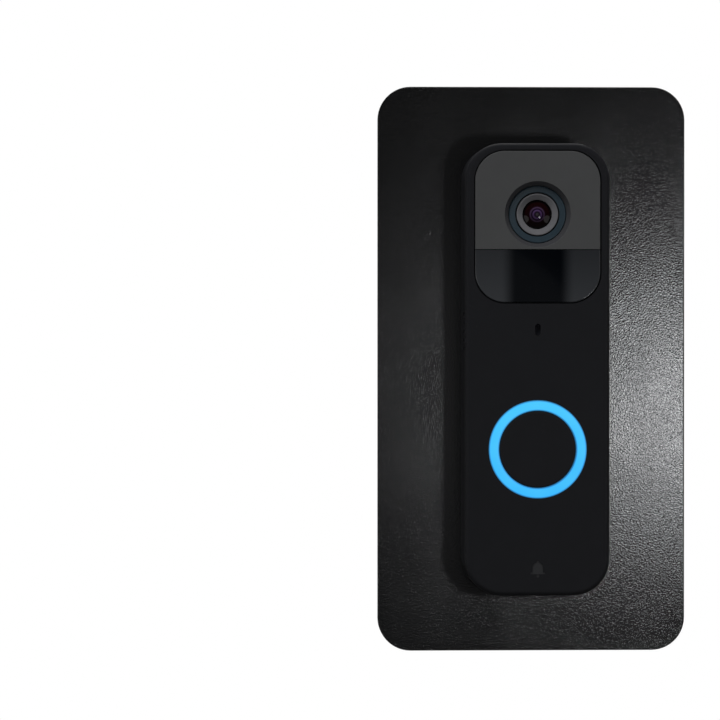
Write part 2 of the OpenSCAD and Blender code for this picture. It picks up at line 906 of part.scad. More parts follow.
module contact_dimple(x, z_plate, direction) {
    translate([x, -cell_axis, z_plate + (direction > 0 ? 0 : -dimple_h)])
        cylinder(h = dimple_h, r1 = direction > 0 ? 2.6 : 1.6, r2 = direction > 0 ? 1.6 : 2.6);
}

// Bottom plate that links the two cells
module link_contact() {
    color("#c4c7cb") {
        contact_blade(0, bay_bottom, bay_w - 1.2);
        contact_coil(-cell_d / 2 - fit, bay_bottom + contact_t, 1);
        contact_dimple(cell_d / 2 + fit, bay_bottom + contact_t, 1);
    }
}

module positive_contact() {
    color("#c4c7cb") {
        contact_blade(-cell_d / 2 - fit, bay_top - contact_t, cell_d - 2);
        contact_dimple(-cell_d / 2 - fit, bay_top - contact_t, -1);
    }
}

module negative_contact() {
    color("#c4c7cb") {
        contact_blade(cell_d / 2 + fit, bay_top - contact_t, cell_d - 2);
        contact_coil(cell_d / 2 + fit, bay_top - contact_t, -1);
    }
}

// ---- Main board and what stands on it ----

module reset_button() {
    color("#c7483c") {
        rod([reset_x, reset_z], tub_back + 0.2, tub_front, reset_r);
        rod([reset_x, reset_z], tub_front, tub_front + reset_flange_t, reset_flange_r);
        rod([reset_x, reset_z], tub_front + reset_flange_t, reset_switch_back + 0.25, 0.6);
    }
}

module reset_switch() {
    body = 2.1;
    color("#d7d9dc")
        difference() {
            block([reset_x - body, reset_switch_back, reset_z - body],
                  [reset_x + body, main_back, reset_z + body]);
            rod([reset_x, reset_z], tub_front, main_back - 0.15, 0.7);
        }
}

module main_board() {
    color("#1d5b3a")
        difference() {
            slab(main_back, main_front)
                translate([0, (main_low + main_high) / 2])
                    round_rect(main_w, main_high - main_low, 3);
            for (at = housing_screw_at)
                rod(at, main_back - 1, main_front + 1, boss_r + 0.5);
            for (at = board_screw_at)
                rod(at, main_back - 1, main_front + 1, 0.85);
        }
}

// Short screws that come from the front into the rear housing's posts
module board_screws() {
    color("#9da1a6")
        for (at = board_screw_at)
            difference() {
                union() {
                    rod(at, main_front, main_front + 0.8, 1.6);
                    rod(at, main_front - board_screw_len + 1.2, main_front, 0.75);
                }
                cross_recess(at, main_front + 0.4, 0.85, 1);
            }
}

module shield_can() {
    color("#c9cccf")
        difference() {
            slab(main_front, main_front + shield_t)
                translate([0, shield_z])
                    round_rect(shield_w, shield_h, 0.8);
            slab(main_front - 1, main_front + shield_t - shield_wall)
                translate([0, shield_z])
                    round_rect(shield_w - 2 * shield_wall, shield_h - 2 * shield_wall, 0.8 - shield_wall);
        }
}

module processor_chip() {
    color("#2a2c30") {
        block([-9.5, main_front, shield_z - 4], [-1.5, main_front + 1, shield_z + 4]);
        block([2, main_front, shield_z - 3], [8, main_front + 0.9, shield_z + 3]);
    }
}

// Printed flex antenna stuck to the inside of the left wall
module wifi_antenna() {
    inner_x = inner_w / 2 - fit;
    low = head_split_z - 12;
    back = parting + lip_h + 0.5;
    high = ledge_back - 0.6;
    tracks = 4;
    pitch = (high - back) / tracks;
    color("#b8862b") {
        block([-inner_x, back, low], [-inner_x + 0.25, high, low + 26]);
        for (i = [0:tracks - 1])
            block([-inner_x + 0.25, back + (i + 0.25) * pitch, low + 2],
                  [-inner_x + 0.32, back + (i + 0.7) * pitch, low + 24]);
    }
}

// ---- Camera ----

module camera_board() {
    half = camera_board_w / 2;
    color("#1d5b3a") {
        block([-half, camera_board_back, camera_z - half], [half, camera_board_front, camera_z + half]);
        block([-5, main_front, camera_z - half + 0.5], [5, camera_board_back, camera_z - half + 3]);
    }
}

module image_sensor() {
    color("#4b3f66") {
        slab_box(0, camera_z, 7.2, 6, camera_board_front, camera_board_front + 0.7);
        slab_box(0, camera_z, 5.6, 4.2, camera_board_front + 0.7, camera_board_front + 0.8);
    }
}

module lens_holder() {
    base_front = camera_board_front + holder_base_t;
    at = [0, camera_z];
    color("#2b2d31")
        difference() {
            union() {
                slab(camera_board_front, base_front)
                    translate(at)
                        round_rect(holder_w, holder_w, 1);
                rod(at, base_front - eps, holder_front, holder_tube_r);
                rod(at, holder_front - 0.8, holder_front, holder_flange_r);
            }
            slab(camera_board_front - 1, camera_board_front + 1.3)
                translate(at)
                    round_rect(12, 12, 0.5);
            rod(at, camera_board_front, camera_board_front + 2, 3.4);
            rod(at, barrel_back - fit, holder_front + 1, barrel_r + screw_clear);
        }
}

// Turned section: outer wall, conical mouth, then bores that step down towards the sensor
module lens_barrel() {
    color("#2f3135")
        turned([0, camera_z], [
            [3.1, barrel_back], [barrel_r, barrel_back], [barrel_r, barrel_head_back],
            [barrel_head_r, barrel_head_back], [barrel_head_r, barrel_front - 0.2],
            [barrel_head_r - 0.2, barrel_front], [barrel_mouth_r - 0.1, barrel_front],
            [glass_r + 0.1, barrel_front - 0.8], [glass_r + 0.03, barrel_front - 1],
            [glass_r + 0.03, glass_seat - 0.03], [3.7, glass_seat - 0.03], [3.7, glass_seat - 3.3],
            [3.1, glass_seat - 3.3]
        ]);
}

// A lens with a flat back and a domed front
module dome_lens(d_back, d_edge, r, dome) {
    sphere_r = (r * r + dome * dome) / (2 * dome);
    translate([0, 0, camera_z])
        intersection() {
            rod([0, 0], d_back, d_edge + dome + 1, r);
            translate([0, -(d_edge + dome - sphere_r), 0])
                sphere(r = sphere_r, $fn = 96);
        }
}

module front_lens() {
    color([0.35, 0.1, 0.16, 0.8])
        dome_lens(glass_seat, glass_seat + glass_edge, glass_r, glass_dome);
}

module middle_lens() {
    color([0.5, 0.35, 0.55, 0.6])
        dome_lens(glass_seat - 3.2, glass_seat - 1.9, 3.65, 0.8);
}

module rear_lens() {
    color([0.45, 0.5, 0.6, 0.6])
        dome_lens(barrel_back + 0.6, barrel_back + 1.8, 3.05, 0.7);
}

module ir_filter() {
    color([0.55, 0.75, 0.8, 0.6])
        slab_box(0, camera_z, 8.4, 8.4, camera_board_front + 0.95, camera_board_front + 1.3);
}

module lens_seal() {
    color("#18191b")
        ring([0, camera_z], holder_front, seal_front, collar_r - 0.2, barrel_head_r + 0.3);
}

module lens_bezel() {
    inner = barrel_head_r + groove_w;
    mid = (inner + bezel_r) / 2;
    color("#5c6a74")
        turned([0, camera_z], [
            [inner, seal_front], [bezel_r, seal_front], [bezel_r, recess_floor - 0.1],
            [bezel_r - 0.35, recess_floor + 0.15], [mid, recess_floor + 0.05],
            [inner, recess_floor - 0.25]
        ]);
}

// ---- Head panels ----

// Outline of the whole head panel, in from or out from its edge
module head_outline(grow) {
    translate([0, head_z])
        round_rect(head_w + 2 * grow, head_h + 2 * grow, head_corner_r + grow);
}

module head_plate() {
    translate([0, 0, head_z])
        soft_slab(head_w, head_h, head_corner_r, head_back, front, 0.3);
}

module camera_panel() {
    at = [0, camera_z];
    color("#33363a")
        difference() {
            union() {
                intersection() {
                    head_plate();
                    block([-unit_w, 0, head_split_z + head_split_gap / 2], [unit_w, front + 1, top_z]);
                }
                rod(at, seal_front, head_back + eps, collar_r);
            }
            rod(at, recess_floor, front + eps, recess_floor_r, recess_r);
            rod(at, seal_front - 1, recess_floor + eps, recess_floor_r);
        }
}

module window_panel() {
    color("#0c0d0f")
        intersection() {
            head_plate();
            block([-unit_w, 0, head_low - 1], [unit_w, front + 1, head_split_z - head_split_gap / 2]);
        }
}

module panel_tape() {
    color("#6b6e72")
        slab(ledge_front, head_back)
            difference() {
                head_outline(-0.3);
                head_outline(-ledge_w);
            }
}

// ---- Sensors behind the lower window ----

// Foot of the head panel's outline, in from its edge and below a height
module head_foot(inset, high) {
    intersection() {
        head_outline(-inset);
        translate([-unit_w, head_low])
            square([2 * unit_w, high - head_low]);
    }
}

module window_baffle() {
    inset = ledge_w + baffle_gap;
    color("#141517")
        slab(sensor_board_front, head_back - fit) {
            difference() {
                head_foot(inset, baffle_high);
                head_foot(inset + baffle_t, baffle_high - baffle_t);
            }
            for (side = [-1, 1])
                translate([side * baffle_inner_x - baffle_t / 2, head_low + inset + baffle_t / 2])
                    square([baffle_t, baffle_high - head_low - inset - baffle_t]);
        }
}

module sensor_board() {
    color("#1d5b3a")
        difference() {
            slab(sensor_board_back, sensor_board_front)
                translate([0, sensor_z])
                    square([sensor_board_w, sensor_high - sensor_low], center = true);
            for (side = [-1, 1], rise = [-3.5, 3.5])
                rod([side * sensor_post_x, sensor_z + rise], sensor_board_back - 1, sensor_board_front + 1,
                    stake_r + fit);
        }
}

module motion_sensor() {
    can_front = sensor_board_front + 3.6;
    color("#b9b49a") {
        rod([0, motion_z], sensor_board_front, sensor_board_front + 0.5, motion_base_r);
        rod([0, motion_z], sensor_board_front + 0.5, can_front, motion_base_r - 0.5);
    }
    color("#3b3c3e")
        slab_box(0, motion_z, 4, 3, can_front, can_front + 0.15);
}

module ir_leds() {
    color([0.85, 0.87, 0.9, 0.8])
        for (side = [-1, 1])
            translate([side * ir_led_x, 0, sensor_z]) {
                block([-1.75, sensor_board_front, -1.75], [1.75, sensor_board_front + 1.2, 1.75]);
                intersection() {
                    rod([0, 0], sensor_board_front + 1.2, sensor_board_front + 3, 1.5);
                    translate([0, -sensor_board_front - 1.2, 0])
                        sphere(r = 1.5);
                }
            }
}

module light_sensor() {
    color("#e4e6e8")
        block([light_sensor_x, sensor_board_front, sensor_room_high - light_sensor_w - 0.05],
              [light_sensor_x + light_sensor_w, sensor_board_front + 0.7, sensor_room_high - 0.05]);
}

// ---- Front housing ----

// A small generic bell, drawn flat about its own middle
module bell_sign() {
    translate([0, 0.2])
        circle(r = 1.5);
    translate([-1.5, -1.3])
        square([3, 1.5]);
    translate([-2.1, -1.75])
        square([4.2, 0.5]);
    translate([0, -2.25])
        circle(r = 0.45);
    translate([0, 1.8])
        circle(r = 0.35);
}

module front_housing_body() {
    // Front wall with its rolled edge, and the side walls behind it
    difference() {
        soft_slab(unit_w, unit_h, unit_corner_r, parting + parting_gap, front, front_edge_r);
        slab(parting - 1, wall_in)
            round_rect(inner_w, inner_h, inner_r);
        slab(parting - 1, parting + lip_h + fit)
            round_rect(inner_w + 2 * (lip_t + fit), inner_h + 2 * (lip_t + fit), inner_r + lip_t + fit);
    }
    // Frame that carries the head panels
    difference() {
        slab(ledge_back, wall_in + eps)
            intersection() {
                head_outline(head_seam + ledge_rim);
                round_rect(inner_w + 2 * eps, inner_h + 2 * eps, inner_r + eps);
            }
        slab(ledge_back - 1, wall_in + 1)
            head_outline(-ledge_w);
    }
    // Screw bosses
    for (at = housing_screw_at)
        rod(at, screw_seat, wall_in + eps, boss_r);
    // Stakes for the button board and for the sensor board
    for (at = stake_at) {
        rod(at, button_board_front, wall_in + eps, stake_r + 0.5);
        rod(at, button_board_back + 0.1, wall_in, stake_r);
    }
    for (side = [-1, 1], rise = [-3.5, 3.5]) {
        rod([side * sensor_post_x, sensor_z + rise], sensor_board_front, ledge_back + eps, stake_r + 0.5);
        rod([side * sensor_post_x, sensor_z + rise], sensor_board_back + 0.1, ledge_back, stake_r);
    }
}

module front_housing() {
    slot_low = speaker_z - speaker_slots_h / 2;
    color("#202226")
        difference() {
            front_housing_body();
            // Opening for the head panels, down to their frame
            slab(ledge_front, front + 1)
                head_outline(head_seam);
            rod([0, button_z], wall_in - 1, front + 1, ring_r + screw_clear);
            slab(wall_in - 1, front + 1)
                translate([0, mic_z])
                    rotate(90)
                        pill(mic_port_h, mic_port_w);
            for (at = housing_screw_at)
                rod(at, screw_seat - 1, screw_seat + housing_screw_len, screw_r + screw_clear);
            // Sound slots through both side walls
            for (side = [-1, 1], i = [0:speaker_slots - 1])
                slab_box(side * (half_w + inner_w / 2) / 2, slot_low + i * slot_pitch, wall_t + 1, 1,
                         parting + lip_h + 1, parting + lip_h + 6);
            // Shallow bell sign
            slab(front - 0.15, front + 1)
                translate([0, bell_z])
                    bell_sign();
        }
}

// ---- Button, light ring and microphone ----

module button_board() {
    color("#1d5b3a")
        difference() {
            slab(button_board_back, button_board_front) {
                translate([0, button_z])
                    circle(r = button_board_r);
                translate([-tail_w / 2, button_z])
                    square([tail_w, tail_high - button_z]);
                for (at = stake_at)
                    translate(at)
                        circle(r = stake_r + 1.1);
            }
            for (at = stake_at)
                rod(at, button_board_back - 1, button_board_front + 1, stake_r + fit);
        }
}

module ring_leds() {
    color("#dfe9f2")
        for (i = [0:led_count - 1])
            translate([0, 0, button_z])
                rotate([0, (i + 0.5) * 360 / led_count, 0])
                    block([led_r - led_size / 2, button_board_front, -led_size / 2],
                          [led_r + led_size / 2, button_board_front + led_h, led_size / 2]);
}

module ring_reflector() {
    color("#e9ebec")
        difference() {
            ring([0, button_z], button_board_front, ring_back, ring_flange_r, ring_rebate_r);
            for (i = [0:led_count - 1])
                translate([0, 0, button_z])
                    rotate([0, (i + 0.5) * 360 / led_count, 0])
                        block([led_r - led_size / 2 - fit, button_board_front - 1, -led_size / 2 - fit],
                              [led_r + led_size / 2 + fit, ring_back + 1, led_size / 2 + fit]);
        }
}

// Turned section: face ring, rebate for the button's flange, and a flange behind the front wall
module light_ring() {
    color("#3fb4f2")
        turned([0, button_z], [
            [ring_in_r, ring_rebate], [ring_rebate_r, ring_rebate], [ring_rebate_r, ring_back],
            [ring_flange_r, ring_back], [ring_flange_r, ring_flange_front], [ring_r, ring_flange_front],
            [ring_r, front - 0.12], [ring_r - 0.12, front], [ring_in_r + 0.12, front],
            [ring_in_r, front - 0.12]
        ]);
}

// Turned section: a shallow cup with a flange and a nub that meets the switch
module button_cap() {
    under = front - cap_top_t;
    color("#202226")
        turned([0, button_z], [
            [0, cap_nub_back], [cap_nub_r, cap_nub_back], [cap_nub_r, under],
            [cap_r - cap_wall_t, under], [cap_r - cap_wall_t, cap_back], [cap_flange_r, cap_back],
            [cap_flange_r, cap_flange_front], [cap_r, cap_flange_front], [cap_r, front - 0.25],
            [cap_r - 0.25, front], [0, front]
        ]);
}

// Silicone spring ring between the board and the cap
module button_pad() {
    color("#8a8d92")
        turned([0, button_z], [
            [7.4, button_board_front], [8.8, button_board_front], [8.2, front - cap_top_t],
            [7, front - cap_top_t]
        ]);
}

module button_switch() {
    body = 2.6;
    color("#2d2f33")
        difference() {
            slab_box(0, button_z, 2 * body, 2 * body, button_board_front, button_board_front + switch_body_t);
            rod([0, button_z], button_board_front + 0.15, front, plunger_r + fit);
        }
}

module switch_plunger() {
    color("#b3402f")
        rod([0, button_z], plunger_back, plunger_front, plunger_r);
}

module microphone() {
    color("#c9a85a")
        difference() {
            block([-1.9, button_board_front, mic_z - 1.5], [1.9, button_board_front + 1.1, mic_z + 1.5]);
            rod([0, mic_z], button_board_front + 0.7, front, 0.4);
        }
}

module mic_boot() {
    color("#17181a")
        ring([0, mic_z], button_board_front + 1.1, wall_in - glue_t, 2.8, 0.9);
}

module mic_mesh() {
    color("#55585c")
        rod([0, mic_z], wall_in - glue_t, wall_in, 2.8);
}

// Flat cable from the button board's back, over the speaker, to the main board
module button_ribbon() {
    high = ribbon_z + 0.3;
    low = tail_high - 6;
    out = button_board_back - ribbon_t;
    color("#e7e3d6") {
        block([-ribbon_w / 2, out, low], [ribbon_w / 2, button_board_back, high]);
        block([-ribbon_w / 2, main_front + 1, high - ribbon_t], [ribbon_w / 2, out + eps, high]);
        block([-ribbon_w / 2 - 0.6, main_front, high - 1], [ribbon_w / 2 + 0.6, main_front + 1, high + 0.8]);
    }
}

// ---- Speaker ----

module speaker() {
    back = speaker_back;
    rim = back + speaker_t;
    color("#303236")
        difference() {
            slab(back, rim)
                translate([0, speaker_z])
                    round_rect(speaker_w, speaker_h, 2);
            slab(rim - 0.6, rim + 1)
                translate([0, speaker_z])
                    round_rect(speaker_w - 2.4, speaker_h - 2.4, 1.6);
        }
    color("#8d9094")
        slab(rim - 0.6, rim - 0.25)
            translate([0, speaker_z])
                round_rect(speaker_w - 6, speaker_h - 6, 4);
}

module speaker_pad() {
    color("#4a4c50")
        slab(main_front, speaker_back)
            translate([0, speaker_z])
                round_frame(speaker_w - 1, speaker_h - 1, 1.5, 1.4);
}

// Acoustic cloth behind the sound slots
module speaker_mesh() {
    reach = speaker_slots_h / 2 + 1;
    color("#3c3f43")
        for (side = [-1, 1])
            block([side > 0 ? inner_w / 2 - 0.2 : -inner_w / 2, parting + lip_h + 0.4, speaker_z - reach],
                  [side > 0 ? inner_w / 2 : -inner_w / 2 + 0.2, parting + lip_h + 6.6, speaker_z + reach]);
}

wall_plate();
wall_screws();
mount_plate();
release_tongue();
terminal_nuts();
terminal_screws();
terminal_clamps();
mount_contacts();
rear_housing();
power_pads();
bay_seal();
housing_seal();
housing_screws();
front_housing();
battery_left();
battery_right();
link_contact();
positive_contact();
negative_contact();
reset_button();
reset_switch();
main_board();
board_screws();
shield_can();
processor_chip();
wifi_antenna();
camera_board();
image_sensor();
lens_holder();
lens_barrel();
front_lens();
middle_lens();
rear_lens();
ir_filter();
lens_seal();
lens_bezel();
camera_panel();
window_panel();
panel_tape();
window_baffle();
sensor_board();
motion_sensor();
ir_leds();
light_sensor();
button_board();
ring_leds();
ring_reflector();
light_ring();
button_cap();
button_pad();
button_switch();
switch_plunger();
microphone();
mic_boot();
mic_mesh();
button_ribbon();
speaker();
speaker_pad();
speaker_mesh();
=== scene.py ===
import json
import math
import bmesh
import bpy
from mathutils import Matrix, Vector


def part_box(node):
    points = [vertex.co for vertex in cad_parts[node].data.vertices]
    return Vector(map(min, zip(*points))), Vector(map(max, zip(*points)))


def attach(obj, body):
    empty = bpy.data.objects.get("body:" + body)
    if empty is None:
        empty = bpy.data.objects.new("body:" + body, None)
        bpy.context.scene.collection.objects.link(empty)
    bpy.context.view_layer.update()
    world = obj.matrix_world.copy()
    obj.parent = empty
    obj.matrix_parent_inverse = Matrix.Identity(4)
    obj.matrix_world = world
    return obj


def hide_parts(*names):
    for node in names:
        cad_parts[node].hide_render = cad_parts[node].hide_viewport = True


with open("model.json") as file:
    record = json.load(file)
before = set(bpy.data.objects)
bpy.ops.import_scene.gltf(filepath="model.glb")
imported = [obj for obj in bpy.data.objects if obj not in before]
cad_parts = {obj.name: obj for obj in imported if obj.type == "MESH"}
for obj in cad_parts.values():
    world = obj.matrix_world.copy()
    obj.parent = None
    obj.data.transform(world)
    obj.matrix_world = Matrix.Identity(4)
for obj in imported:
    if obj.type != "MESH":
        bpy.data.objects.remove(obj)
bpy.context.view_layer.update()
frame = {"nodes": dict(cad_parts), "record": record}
nodes = frame["nodes"]
record = frame["record"]
mm = 0.001
scene = bpy.context.scene
print("frame loaded:", len(nodes), "nodes")


# places that the other pieces are worked out from
def middle(node):
    low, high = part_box(node)
    return (low + high) / 2


def radiusOf(node):
    low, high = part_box(node)
    return (high.x - low.x) / 2


def depths(node):
    # back and front, as distances out of the wall
    low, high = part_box(node)
    return -high.y, -low.y


lensAxis = Vector((0, 0, middle("lens_barrel").z))
buttonAxis = Vector((0, 0, middle("button_cap").z))


def addObject(name, data):
    thing = bpy.data.objects.new(name, data)
    scene.collection.objects.link(thing)
    return thing


def aimFrom(thing, position, aim):
    thing.location = position
    thing.rotation_euler = (Vector(aim) - thing.location).to_track_quat("-Z", "Y").to_euler()


viewSetup = {"position": (-0.095, -1.147, 0.012), "lookAt": (-0.0502, -0.003, 0.0026), "lens": 195.8, "near": 0.01}
camera = addObject("studioCamera", bpy.data.cameras.new("studioCamera"))
aimFrom(camera, viewSetup["position"], viewSetup["lookAt"])
camera.data.lens = viewSetup["lens"]
camera.data.clip_start = viewSetup["near"]
scene.camera = camera
scene.view_settings.view_transform = "Standard"


# small helpers for node trees
def setSocket(tree, socket, value):
    if isinstance(value, bpy.types.NodeSocket):
        tree.links.new(value, socket)
    else:
        socket.default_value = value


def addNode(tree, kind, inputs=None, **settings):
    node = tree.nodes.new(kind)
    for name, value in settings.items():
        setattr(node, name, value)
    for name, value in (inputs or {}).items():
        setSocket(tree, node.inputs[name], value)
    return node


def mathNode(tree, operation, first, second=0.0, clamp=False):
    return addNode(tree, "ShaderNodeMath", {0: first, 1: second}, operation=operation, use_clamp=clamp).outputs[0]


def times(tree, first, second):
    return mathNode(tree, "MULTIPLY", first, second)


def plus(tree, first, second):
    return mathNode(tree, "ADD", first, second)


def minus(tree, first, second):
    return mathNode(tree, "SUBTRACT", first, second)


def over(tree, first, second):
    return mathNode(tree, "DIVIDE", first, second)


def mapRange(tree, value, fromLow, fromHigh, toLow=0.0, toHigh=1.0, kind="LINEAR"):
    return addNode(tree, "ShaderNodeMapRange", {"Value": value, "From Min": fromLow, "From Max": fromHigh,
                   "To Min": toLow, "To Max": toHigh}, interpolation_type=kind).outputs["Result"]


def around(tree, value, centre, reach):
    return mapRange(tree, value, 0, 1, centre - reach, centre + reach)


def partsOf(tree, vector):
    return addNode(tree, "ShaderNodeSeparateXYZ", {0: vector}).outputs


def centredOn(tree, place, axis):
    return addNode(tree, "ShaderNodeMapping", {"Vector": place, "Location": tuple(-axis)}).outputs[0]


def noise(tree, place, scale, detail, rough=0.5):
    return addNode(tree, "ShaderNodeTexNoise", {"Vector": place, "Scale": scale, "Detail": detail,
                   "Roughness": rough}).outputs


def mixColour(tree, factor, first, second):
    node = addNode(tree, "ShaderNodeMix", data_type="RGBA")
    for index, value in ((0, factor), (6, first), (7, second)):
        setSocket(tree, node.inputs[index], (*value, 1) if isinstance(value, (tuple, list)) else value)
    return node.outputs[2]


def blendIn(tree, mask, share, tone, colour):
    return mixColour(tree, times(tree, mask, share), tone, colour)


def colourRamp(tree, value, stops):
    node = addNode(tree, "ShaderNodeValToRGB", {"Fac": value})
    while len(node.color_ramp.elements) < len(stops):
        node.color_ramp.elements.new(0.5)
    for element, (place, colour) in zip(node.color_ramp.elements, stops):
        element.position = place
        element.color = (*colour, 1)
    return node.outputs["Color"]


def newGroup(name, **numbers):
    # each shared effect reads a place and some numbers, and gives numbers back
    group = bpy.data.node_groups.new(name, "ShaderNodeTree")
    group.interface.new_socket(name="Vector", in_out="INPUT", socket_type="NodeSocketVector")
    for label, value in numbers.items():
        socket = group.interface.new_socket(name=label, in_out="INPUT", socket_type="NodeSocketFloat")
        socket.default_value = value
    return group, group.nodes.new("NodeGroupInput").outputs


def finishGroup(group, **results):
    for label in results:
        group.interface.new_socket(name=label, in_out="OUTPUT", socket_type="NodeSocketFloat")
    end = group.nodes.new("NodeGroupOutput")
    for label, value in results.items():
        group.links.new(value, end.inputs[label])
    return group


def useGroup(tree, group, place, **numbers):
    return addNode(tree, "ShaderNodeGroup", {"Vector": place, **numbers}, node_tree=group).outputs


# stage and light: white to the camera, dim to everything else
stageSetup = {"floorDrop": 0.25, "floorRadius": 1.5, "white": (1, 1, 1, 1), "floorShade": (0.08, 0.08, 0.08, 1),
              "roomTint": (0.95, 0.97, 1, 1), "ambient": 0.012}


def whiteToCamera(tree, unseen, whiteKind, outputKind):
    seen = addNode(tree, "ShaderNodeLightPath").outputs["Is Camera Ray"]
    white = addNode(tree, whiteKind, {"Color": stageSetup["white"], "Strength": 1.0})
    mix = addNode(tree, "ShaderNodeMixShader", {0: seen, 1: unseen.outputs[0], 2: white.outputs[0]})
    addNode(tree, outputKind, {"Surface": mix.outputs[0]})


def makeStage():
    mesh = bpy.data.meshes.new("studioFloor")
    form = bmesh.new()
    bmesh.ops.create_circle(form, cap_ends=True, segments=96, radius=stageSetup["floorRadius"])
    form.transform(Matrix.Translation((0, 0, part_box("wall_plate")[0].z - stageSetup["floorDrop"])))
    form.to_mesh(mesh)
    form.free()
    floor = addObject("studioFloor", mesh)
    paint = bpy.data.materials.new("floorPaint")
    paint.use_nodes = True
    paint.node_tree.nodes.clear()
    matt = addNode(paint.node_tree, "ShaderNodeBsdfDiffuse", {"Color": stageSetup["floorShade"]})
    whiteToCamera(paint.node_tree, matt, "ShaderNodeEmission", "ShaderNodeOutputMaterial")
    mesh.materials.append(paint)
    world = bpy.data.worlds.new("studioRoom")
    world.use_nodes = True
    world.node_tree.nodes.clear()
    room = addNode(world.node_tree, "ShaderNodeBackground", {"Color": stageSetup["roomTint"],
                                                             "Strength": stageSetup["ambient"]})
    whiteToCamera(world.node_tree, room, "ShaderNodeBackground", "ShaderNodeOutputWorld")
    scene.world = world


cool, plain = (0.97, 0.98, 1.0), (1.0, 1.0, 1.0)
lamps = [
    # name, position, aim, size, watts, colour, mirrored in glossy faces
    ("benchLamp", (0.106, -0.494, -0.022), (0.035, 0, -0.012), 0.06, 0.070, cool, True),
    ("nearFill", (-0.002, -0.494, -0.0186), (-0.03, 0, -0.0094), 0.14, 0.0025, cool, True),
    ("highSoftBox", (-0.25, -0.60, 1.05), (0, 0, 0.02), 0.6, 7.8, (0.98, 0.98, 1.0), False),
    ("rightSoftBox", (1.0, -0.45, 0.25), (0, 0, 0), 0.6, 1.1, plain, True),
    ("leftSoftBox", (-1.0, -0.50, -0.15), (0, 0, 0), 0.6, 1.1, plain, True),
    ("leftGlow", (-0.42, -0.62, -0.12), (0, 0, 0), 0.3, 0.15, plain, True),
    ("rightGlow", (0.46, -0.60, -0.12), (0, 0, 0), 0.3, 0.15, plain, True),
    ("overheadBox", (0.0, 0.55, 1.0), (0, 0, 0), 0.6, 4.0, plain, True),
    ("backSoftBox", (0.85, 0.95, -0.25), (0, 0, 0), 0.8, 12.0, plain, False),
    ("backFill", (-0.9, 0.9, -0.25), (0, 0, 0), 0.8, 8.0, plain, False),
    ("rearRightGlow", (0.6, 0.65, -0.2), (0, 0, 0), 0.5, 0.4, plain, True),
    ("rearLeftGlow", (-0.6, 0.65, -0.2), (0, 0, 0), 0.5, 0.4, plain, True),
    ("rearMiddleGlow", (0.0, 0.9, 0.02), (0, 0, 0), 0.4, 0.2, plain, True),
]


def makeLamps():
    for name, position, aim, size, watts, colour, mirrored in lamps:
        light = bpy.data.lights.new(name, "AREA")
        light.shape = "DISK"
        light.size = size
        light.energy = watts
        light.color = colour
        lamp = addObject(name, light)
        aimFrom(lamp, position, aim)
        lamp.visible_camera = False
        lamp.visible_glossy = mirrored


makeStage()
makeLamps()
print("stage, lamps and camera ready")


# effects shared by the materials
def smoothCells(group, place, scale, **more):
    return addNode(group, "ShaderNodeTexVoronoi", {"Vector": place, "Scale": scale, **more},
                   feature="SMOOTH_F1").outputs["Distance"]


def grainGroup():
    # soft moulded or painted grain: fine height, slow tone
    group, given = newGroup("mouldedGrain", Size=0.0003)
    place, scale = given["Vector"], over(group, 1.0, given["Size"])
    fine = noise(group, place, scale, 3.0, 0.55)["Fac"]
    pits = smoothCells(group, place, scale)
    slow = noise(group, place, over(group, scale, 28.0), 4.0, 0.6)["Fac"]
    return finishGroup(group, Height=plus(group, times(group, fine, 0.65), times(group, pits, 0.5)),
                       Tone=mapRange(group, slow, 0.3, 0.7))


def hairCellGroup():
    # pebbled coat: short wandering ridges between shallow cells
    group, given = newGroup("hairCellCoat", Size=0.0007)
    place, scale = given["Vector"], over(group, 1.0, given["Size"])
    drift = noise(group, place, times(group, scale, 0.7), 2.0)["Color"]
    push = addNode(group, "ShaderNodeVectorMath", {0: drift, 1: (0.5, 0.5, 0.5)}, operation="SUBTRACT")
    reach = addNode(group, "ShaderNodeVectorMath", {0: push.outputs[0], "Scale": times(group, given["Size"], 1.1)},
                    operation="SCALE")
    bent = addNode(group, "ShaderNodeVectorMath", {0: place, 1: reach.outputs[0]}, operation="ADD").outputs[0]
    cells = smoothCells(group, bent, scale, Smoothness=0.55)
    wander = noise(group, bent, times(group, scale, 1.3), 2.5, 0.6)["Fac"]
    fine = noise(group, place, times(group, scale, 4.5), 2.0)["Fac"]
    domes = mapRange(group, cells, 0.1, 0.75, 1.0, 0.0, "SMOOTHSTEP")
    ridges = plus(group, times(group, wander, 0.75), times(group, fine, 0.12))
    height = plus(group, times(group, domes, 0.55), ridges)
    slow = noise(group, place, over(group, scale, 40.0), 3.0)["Fac"]
    return finishGroup(group, Height=height,
                       Valley=mapRange(group, height, 0.45, 0.95, 1.0, 0.0, "SMOOTHSTEP"),
                       Tone=mapRange(group, slow, 0.3, 0.7))


def edgeWearGroup():
    # where the surface turns sharply, broken up so that no edge wears evenly
    group, given = newGroup("edgeWear", Radius=0.0003, Breakup=0.002)
    rounded = addNode(group, "ShaderNodeBevel", {"Radius": given["Radius"]}, samples=4)
    trueNormal = addNode(group, "ShaderNodeNewGeometry").outputs["Normal"]
    likeness = addNode(group, "ShaderNodeVectorMath", {0: rounded.outputs[0], 1: trueNormal}, operation="DOT_PRODUCT")
    edge = mapRange(group, likeness.outputs["Value"], 0.985, 0.80)
    patch = noise(group, given["Vector"], over(group, 1.0, given["Breakup"]), 4.0, 0.65)["Fac"]
    broken = mapRange(group, patch, 0.38, 0.62, 0.15, 1.0)
    return finishGroup(group, Mask=mathNode(group, "MULTIPLY", edge, broken, True))


